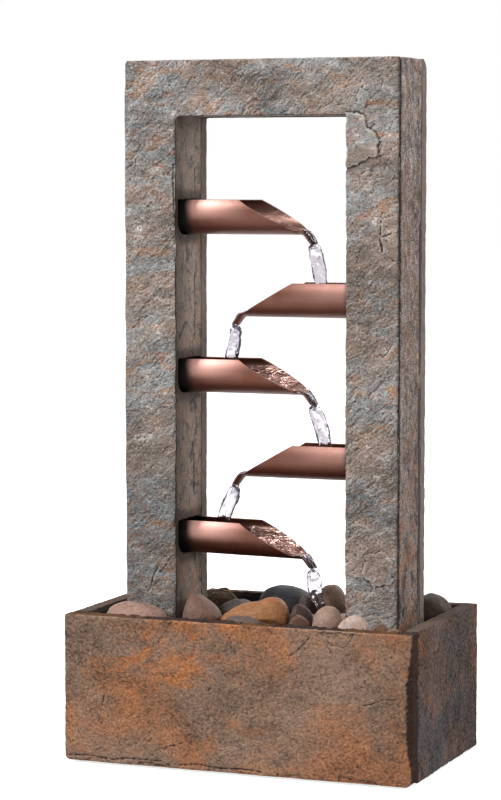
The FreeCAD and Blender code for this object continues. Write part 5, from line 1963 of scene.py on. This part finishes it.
# ---- Running water ---------------------------------------------------------
@dataclass
class Stream:
    """Water that slides over one lip and falls to what is below.

    Each station gives how far ahead of and below the lip's tip a cross-section is, its half width and
    its half depth, in millimetres.
    """

    spout: Spout
    stations: tuple[Four, ...]
    across: float = 1.0             # share of the width that lies along the frame's X
    seed: float = 1.0
    rings: int = 120
    sides: int = 40
    wobble: float = 0.22            # how uneven its width is

    def build(self, material: Material) -> None:
        """Sweep an uneven oval along the fall.

        Args:
            material: the water.
        """
        low, high = box_mm(self.spout.node)
        self.tip = Vector((high.x if self.spout.side > 0 else low.x, self.spout.axis_y, low.z))
        bm = bmesh.new()
        lines = bm.verts.layers.float.new("line")
        ring = bmesh.ops.create_circle(bm, segments=self.sides, radius=1.0, cap_ends=False)["verts"]
        edges = first = list({edge for vert in ring for edge in vert.link_edges})
        self._place(ring, 0.0, lines)
        for count in range(1, self.rings + 1):
            ring, edges = grown(bm, edges)
            self._place(ring, count / self.rings, lines)
        bmesh.ops.edgeloop_fill(bm, edges=first)
        bmesh.ops.edgeloop_fill(bm, edges=edges)
        bmesh.ops.scale(bm, vec=(MM, MM, MM), verts=bm.verts)
        bmesh.ops.recalc_face_normals(bm, faces=bm.faces)
        finished("stream_%d" % self.spout.index, bm, material, (), 80.0)

    def section(self, share: float) -> Four:
        """Cross-section on a smooth curve through the stations.

        Args:
            share: the share of the way, from 0 to 1.

        Returns:
            Ahead, drop, half width and half depth, in millimetres.
        """
        last = len(self.stations) - 1
        place = share * last
        first = min(int(place), last - 1)
        part = place - first
        rows = [self.stations[min(max(first + step, 0), last)] for step in (-1, 0, 1, 2)]

        def between(a: float, b: float, c: float, d: float) -> float:
            """Smooth value between b and c, with their neighbours a and d."""
            bend = 2 * a - 5 * b + 4 * c - d + part * (3 * (b - c) + d - a)
            return b + 0.5 * part * (c - a + part * bend)

        return tuple(between(*values) for values in zip(*rows))

    def _place(self, ring: list[BMVert], share: float, lines: BMLayerItem) -> None:
        """Move a ring's points onto their section of the stream.

        Args:
            ring: the points.
            share: the section's share of the way.
            lines: the layer that marks the stream's two edges, which are painted darker.
        """
        ahead, drop, wide, deep = self.section(share)
        before, after = self.section(max(0.0, share - 0.01)), self.section(min(1.0, share + 0.01))
        run = Vector((after[0] - before[0], 0.0, before[1] - after[1])).normalized()
        turned = self.across * smooth_step(-1.0, 5.0, drop)
        sheet = Vector((-run.z * turned, 1.0 - turned, run.x * turned)).normalized()
        thin = run.cross(sheet)
        middle = Vector((ahead, 0.0, -drop))
        for number, vert in enumerate(sorted(ring, key=lambda item: item.index)):
            angle = 2.0 * math.pi * number / self.sides
            side, face = math.cos(angle), math.sin(angle)
            wave = fractal(side * 0.9, share * 8.0, face * 0.9 + self.seed, 0.8, 2.0, 4)
            rim = 1.0 + 0.5 * abs(side) ** 3
            spot = (
                middle
                + sheet * (side * wide * (1.0 + self.wobble * wave))
                + thin * (face * deep * rim * (0.7 + 0.6 * half_range(wave * 2.0)))
            )
            vert.co = self.tip + Vector((self.spout.side * spot.x, spot.y, spot.z))
            # the two edges get painted shade
            vert[lines] = smooth_step(0.80, 0.95, abs(side))


@dataclass
class Water:
    """The five streams."""

    finish: ClearFinish = ClearFinish("running_water", srgb(212, 206, 215), srgb(40, 36, 44))
    across: float = 0.8
    seed_step: float = 3.1
    sheet: tuple[Four, ...] = (
        (-16.0, -9.0, 4.8, 0.8), (-8.3, -9.5, 4.8, 1.3), (-5.2, -8.9, 4.7, 1.6),
        (-2.6, -6.9, 4.6, 1.8), (0.6, -1.6, 4.4, 1.8),
    )
    falls: tuple[tuple[Four, ...], ...] = (
        ((1.4, 3.0, 4.6, 2.5), (2.6, 8.0, 5.2, 2.4), (4.4, 17.0, 5.4, 2.2),
         (6.6, 26.0, 5.0, 1.9), (7.8, 33.0, 3.6, 1.6), (8.4, 44.0, 2.6, 1.5)),
        ((0.8, 3.0, 4.8, 2.9), (1.4, 8.0, 5.2, 2.6), (2.8, 17.0, 5.8, 2.2),
         (4.4, 26.0, 6.0, 2.1), (5.6, 36.0, 5.4, 1.8), (6.2, 44.0, 4.6, 1.5)),
        ((1.4, 3.0, 4.8, 2.7), (3.6, 9.0, 5.2, 2.5), (7.4, 19.0, 5.4, 2.2),
         (10.0, 29.0, 4.8, 1.9), (11.0, 38.0, 4.2, 1.6), (11.5, 45.0, 4.0, 1.5)),
        ((1.2, 3.0, 5.0, 2.9), (3.2, 8.0, 5.6, 2.6), (7.0, 17.0, 6.0, 2.3),
         (10.6, 25.0, 6.0, 2.0), (12.4, 35.0, 5.2, 1.7), (13.2, 43.0, 4.4, 1.5)),
        ((0.8, 3.0, 4.8, 2.9), (1.6, 9.0, 5.6, 2.5), (3.2, 17.0, 5.6, 2.2),
         (5.6, 25.0, 4.2, 2.0), (7.2, 33.0, 2.6, 1.8), (8.0, 40.0, 1.8, 1.6)),
    )

    def build(self, spouts: list[Spout]) -> None:
        """Build each stream from its spout.

        Args:
            spouts: the spouts, from the top down.
        """
        material = self.finish.material()
        for number, (spout, fall) in enumerate(zip(spouts, self.falls)):
            Stream(spout, self.sheet + fall, self.across, number * self.seed_step).build(material)


# ---- Studio ----------------------------------------------------------------
@dataclass
class Studio:
    """White floor and surround, soft lamps and the camera; metres and degrees."""

    camera_place: Triple = (0.7658, -1.9859, 0.4474)
    camera_turn: float = 21.574
    camera_dip: float = 4.579
    lens: float = 124.8
    sensor: float = 36.0
    floor_size: float = 30.0
    surround: float = 0.30          # what the surround sheds on matt surfaces
    white: Colour = (1.0, 1.0, 1.0, 1.0)
    floor: FloorPaint = FloorPaint()

    def build(self) -> None:
        """Build everything that is not part of the object."""
        self._world()
        self._floor()
        self._lamp("key", (-1.9, -1.7, 2.1), 0.9, 94.0)
        self._lamp("fill", (2.5, -1.3, 1.3), 1.4, 30.0)
        self._lamp("top", (0.0, 0.3, 2.4), 1.4, 14.0)
        self._lamp("rear", (0.6, 2.4, 1.6), 1.6, 22.0)
        self._camera()
        view = bpy.context.scene.view_settings
        view.view_transform = "Standard"

    def _world(self) -> None:
        """White to the eye and to metal, dimmer as a lamp."""
        world = bpy.data.worlds.new("surround")
        world.use_nodes = True
        bpy.context.scene.world = world
        g = Graph(world.node_tree)
        dim = g.lay("Background", {"Color": self.white, "Strength": self.surround})
        bright = g.lay("Background", {"Color": self.white})
        g.end("World", g.lay("MixShader", {0: seen_directly(g), 1: dim, 2: bright}))

    def _floor(self) -> None:
        """Lay the floor."""
        bm = bmesh.new()
        bmesh.ops.create_grid(bm, x_segments=4, y_segments=4, size=self.floor_size / 2)
        mesh = bpy.data.meshes.new("floor")
        bm.to_mesh(mesh)
        bm.free()
        mesh.materials.append(self.floor.material())
        floor = bpy.data.objects.new("floor", mesh)
        bpy.context.scene.collection.objects.link(floor)
        floor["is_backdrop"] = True

    def _lamp(self, name: str, place: Triple, size: float, power: float) -> None:
        """Hang a square softbox, aimed at the middle of the object.

        Args:
            name: the lamp's name.
            place: its place in metres.
            size: its side in metres.
            power: its power in watts.
        """
        light = bpy.data.lights.new(name, "AREA")
        light.shape = "SQUARE"
        light.size = size
        light.energy = power
        lamp = bpy.data.objects.new(name, light)
        lamp.location = place
        low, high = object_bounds()
        aim = (low + high) / 2 - Vector(place)
        lamp.rotation_euler = aim.to_track_quat("-Z", "Y").to_euler()
        bpy.context.scene.collection.objects.link(lamp)

    def _camera(self) -> None:
        """Set the camera a little above the basin's middle, from the right."""
        data = bpy.data.cameras.new("camera")
        data.sensor_width = self.sensor
        data.lens = self.lens
        camera = bpy.data.objects.new("camera", data)
        turn, dip = math.radians(self.camera_turn), math.radians(self.camera_dip)
        ahead, down = math.cos(dip), math.sin(dip)
        look = Vector((-math.sin(turn) * ahead, math.cos(turn) * ahead, -down))
        camera.location = self.camera_place
        camera.rotation_euler = look.to_track_quat("-Z", "Y").to_euler()
        bpy.context.scene.collection.objects.link(camera)
        bpy.context.scene.camera = camera


# ---- Whole object ----------------------------------------------------------
def corners(bounds: tuple[Vector, Vector]) -> list[list[float]]:
    """Two corners as plain lists."""
    return [[float(value) for value in corner] for corner in bounds]


def main() -> None:
    """Build the whole object and its studio, and work out its size."""
    logging.basicConfig(level=logging.INFO, format="%(message)s")
    packed = corners(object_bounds())
    noise.seed_set(NOISE_SEED)
    Basin().build()
    Tower().build()
    copper = CopperFinish().material()
    spouts = [
        Spout(1, 7.0, skew=0.25, wetness=0.34),
        Spout(2, 6.5),
        Spout(3, 8.0, skew=0.25),
        Spout(4, 7.0),
        Spout(5, 7.0, skew=0.25, fall=0.8),
    ]
    for spout in spouts:
        spout.build(copper)
    WaterLineInside().build(copper)
    Pump().build()
    PebbleBed().build()
    Water().build(spouts)
    Studio().build()
    {"packed": packed, "visual": corners(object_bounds())}


if __name__ == "__main__":
    main()
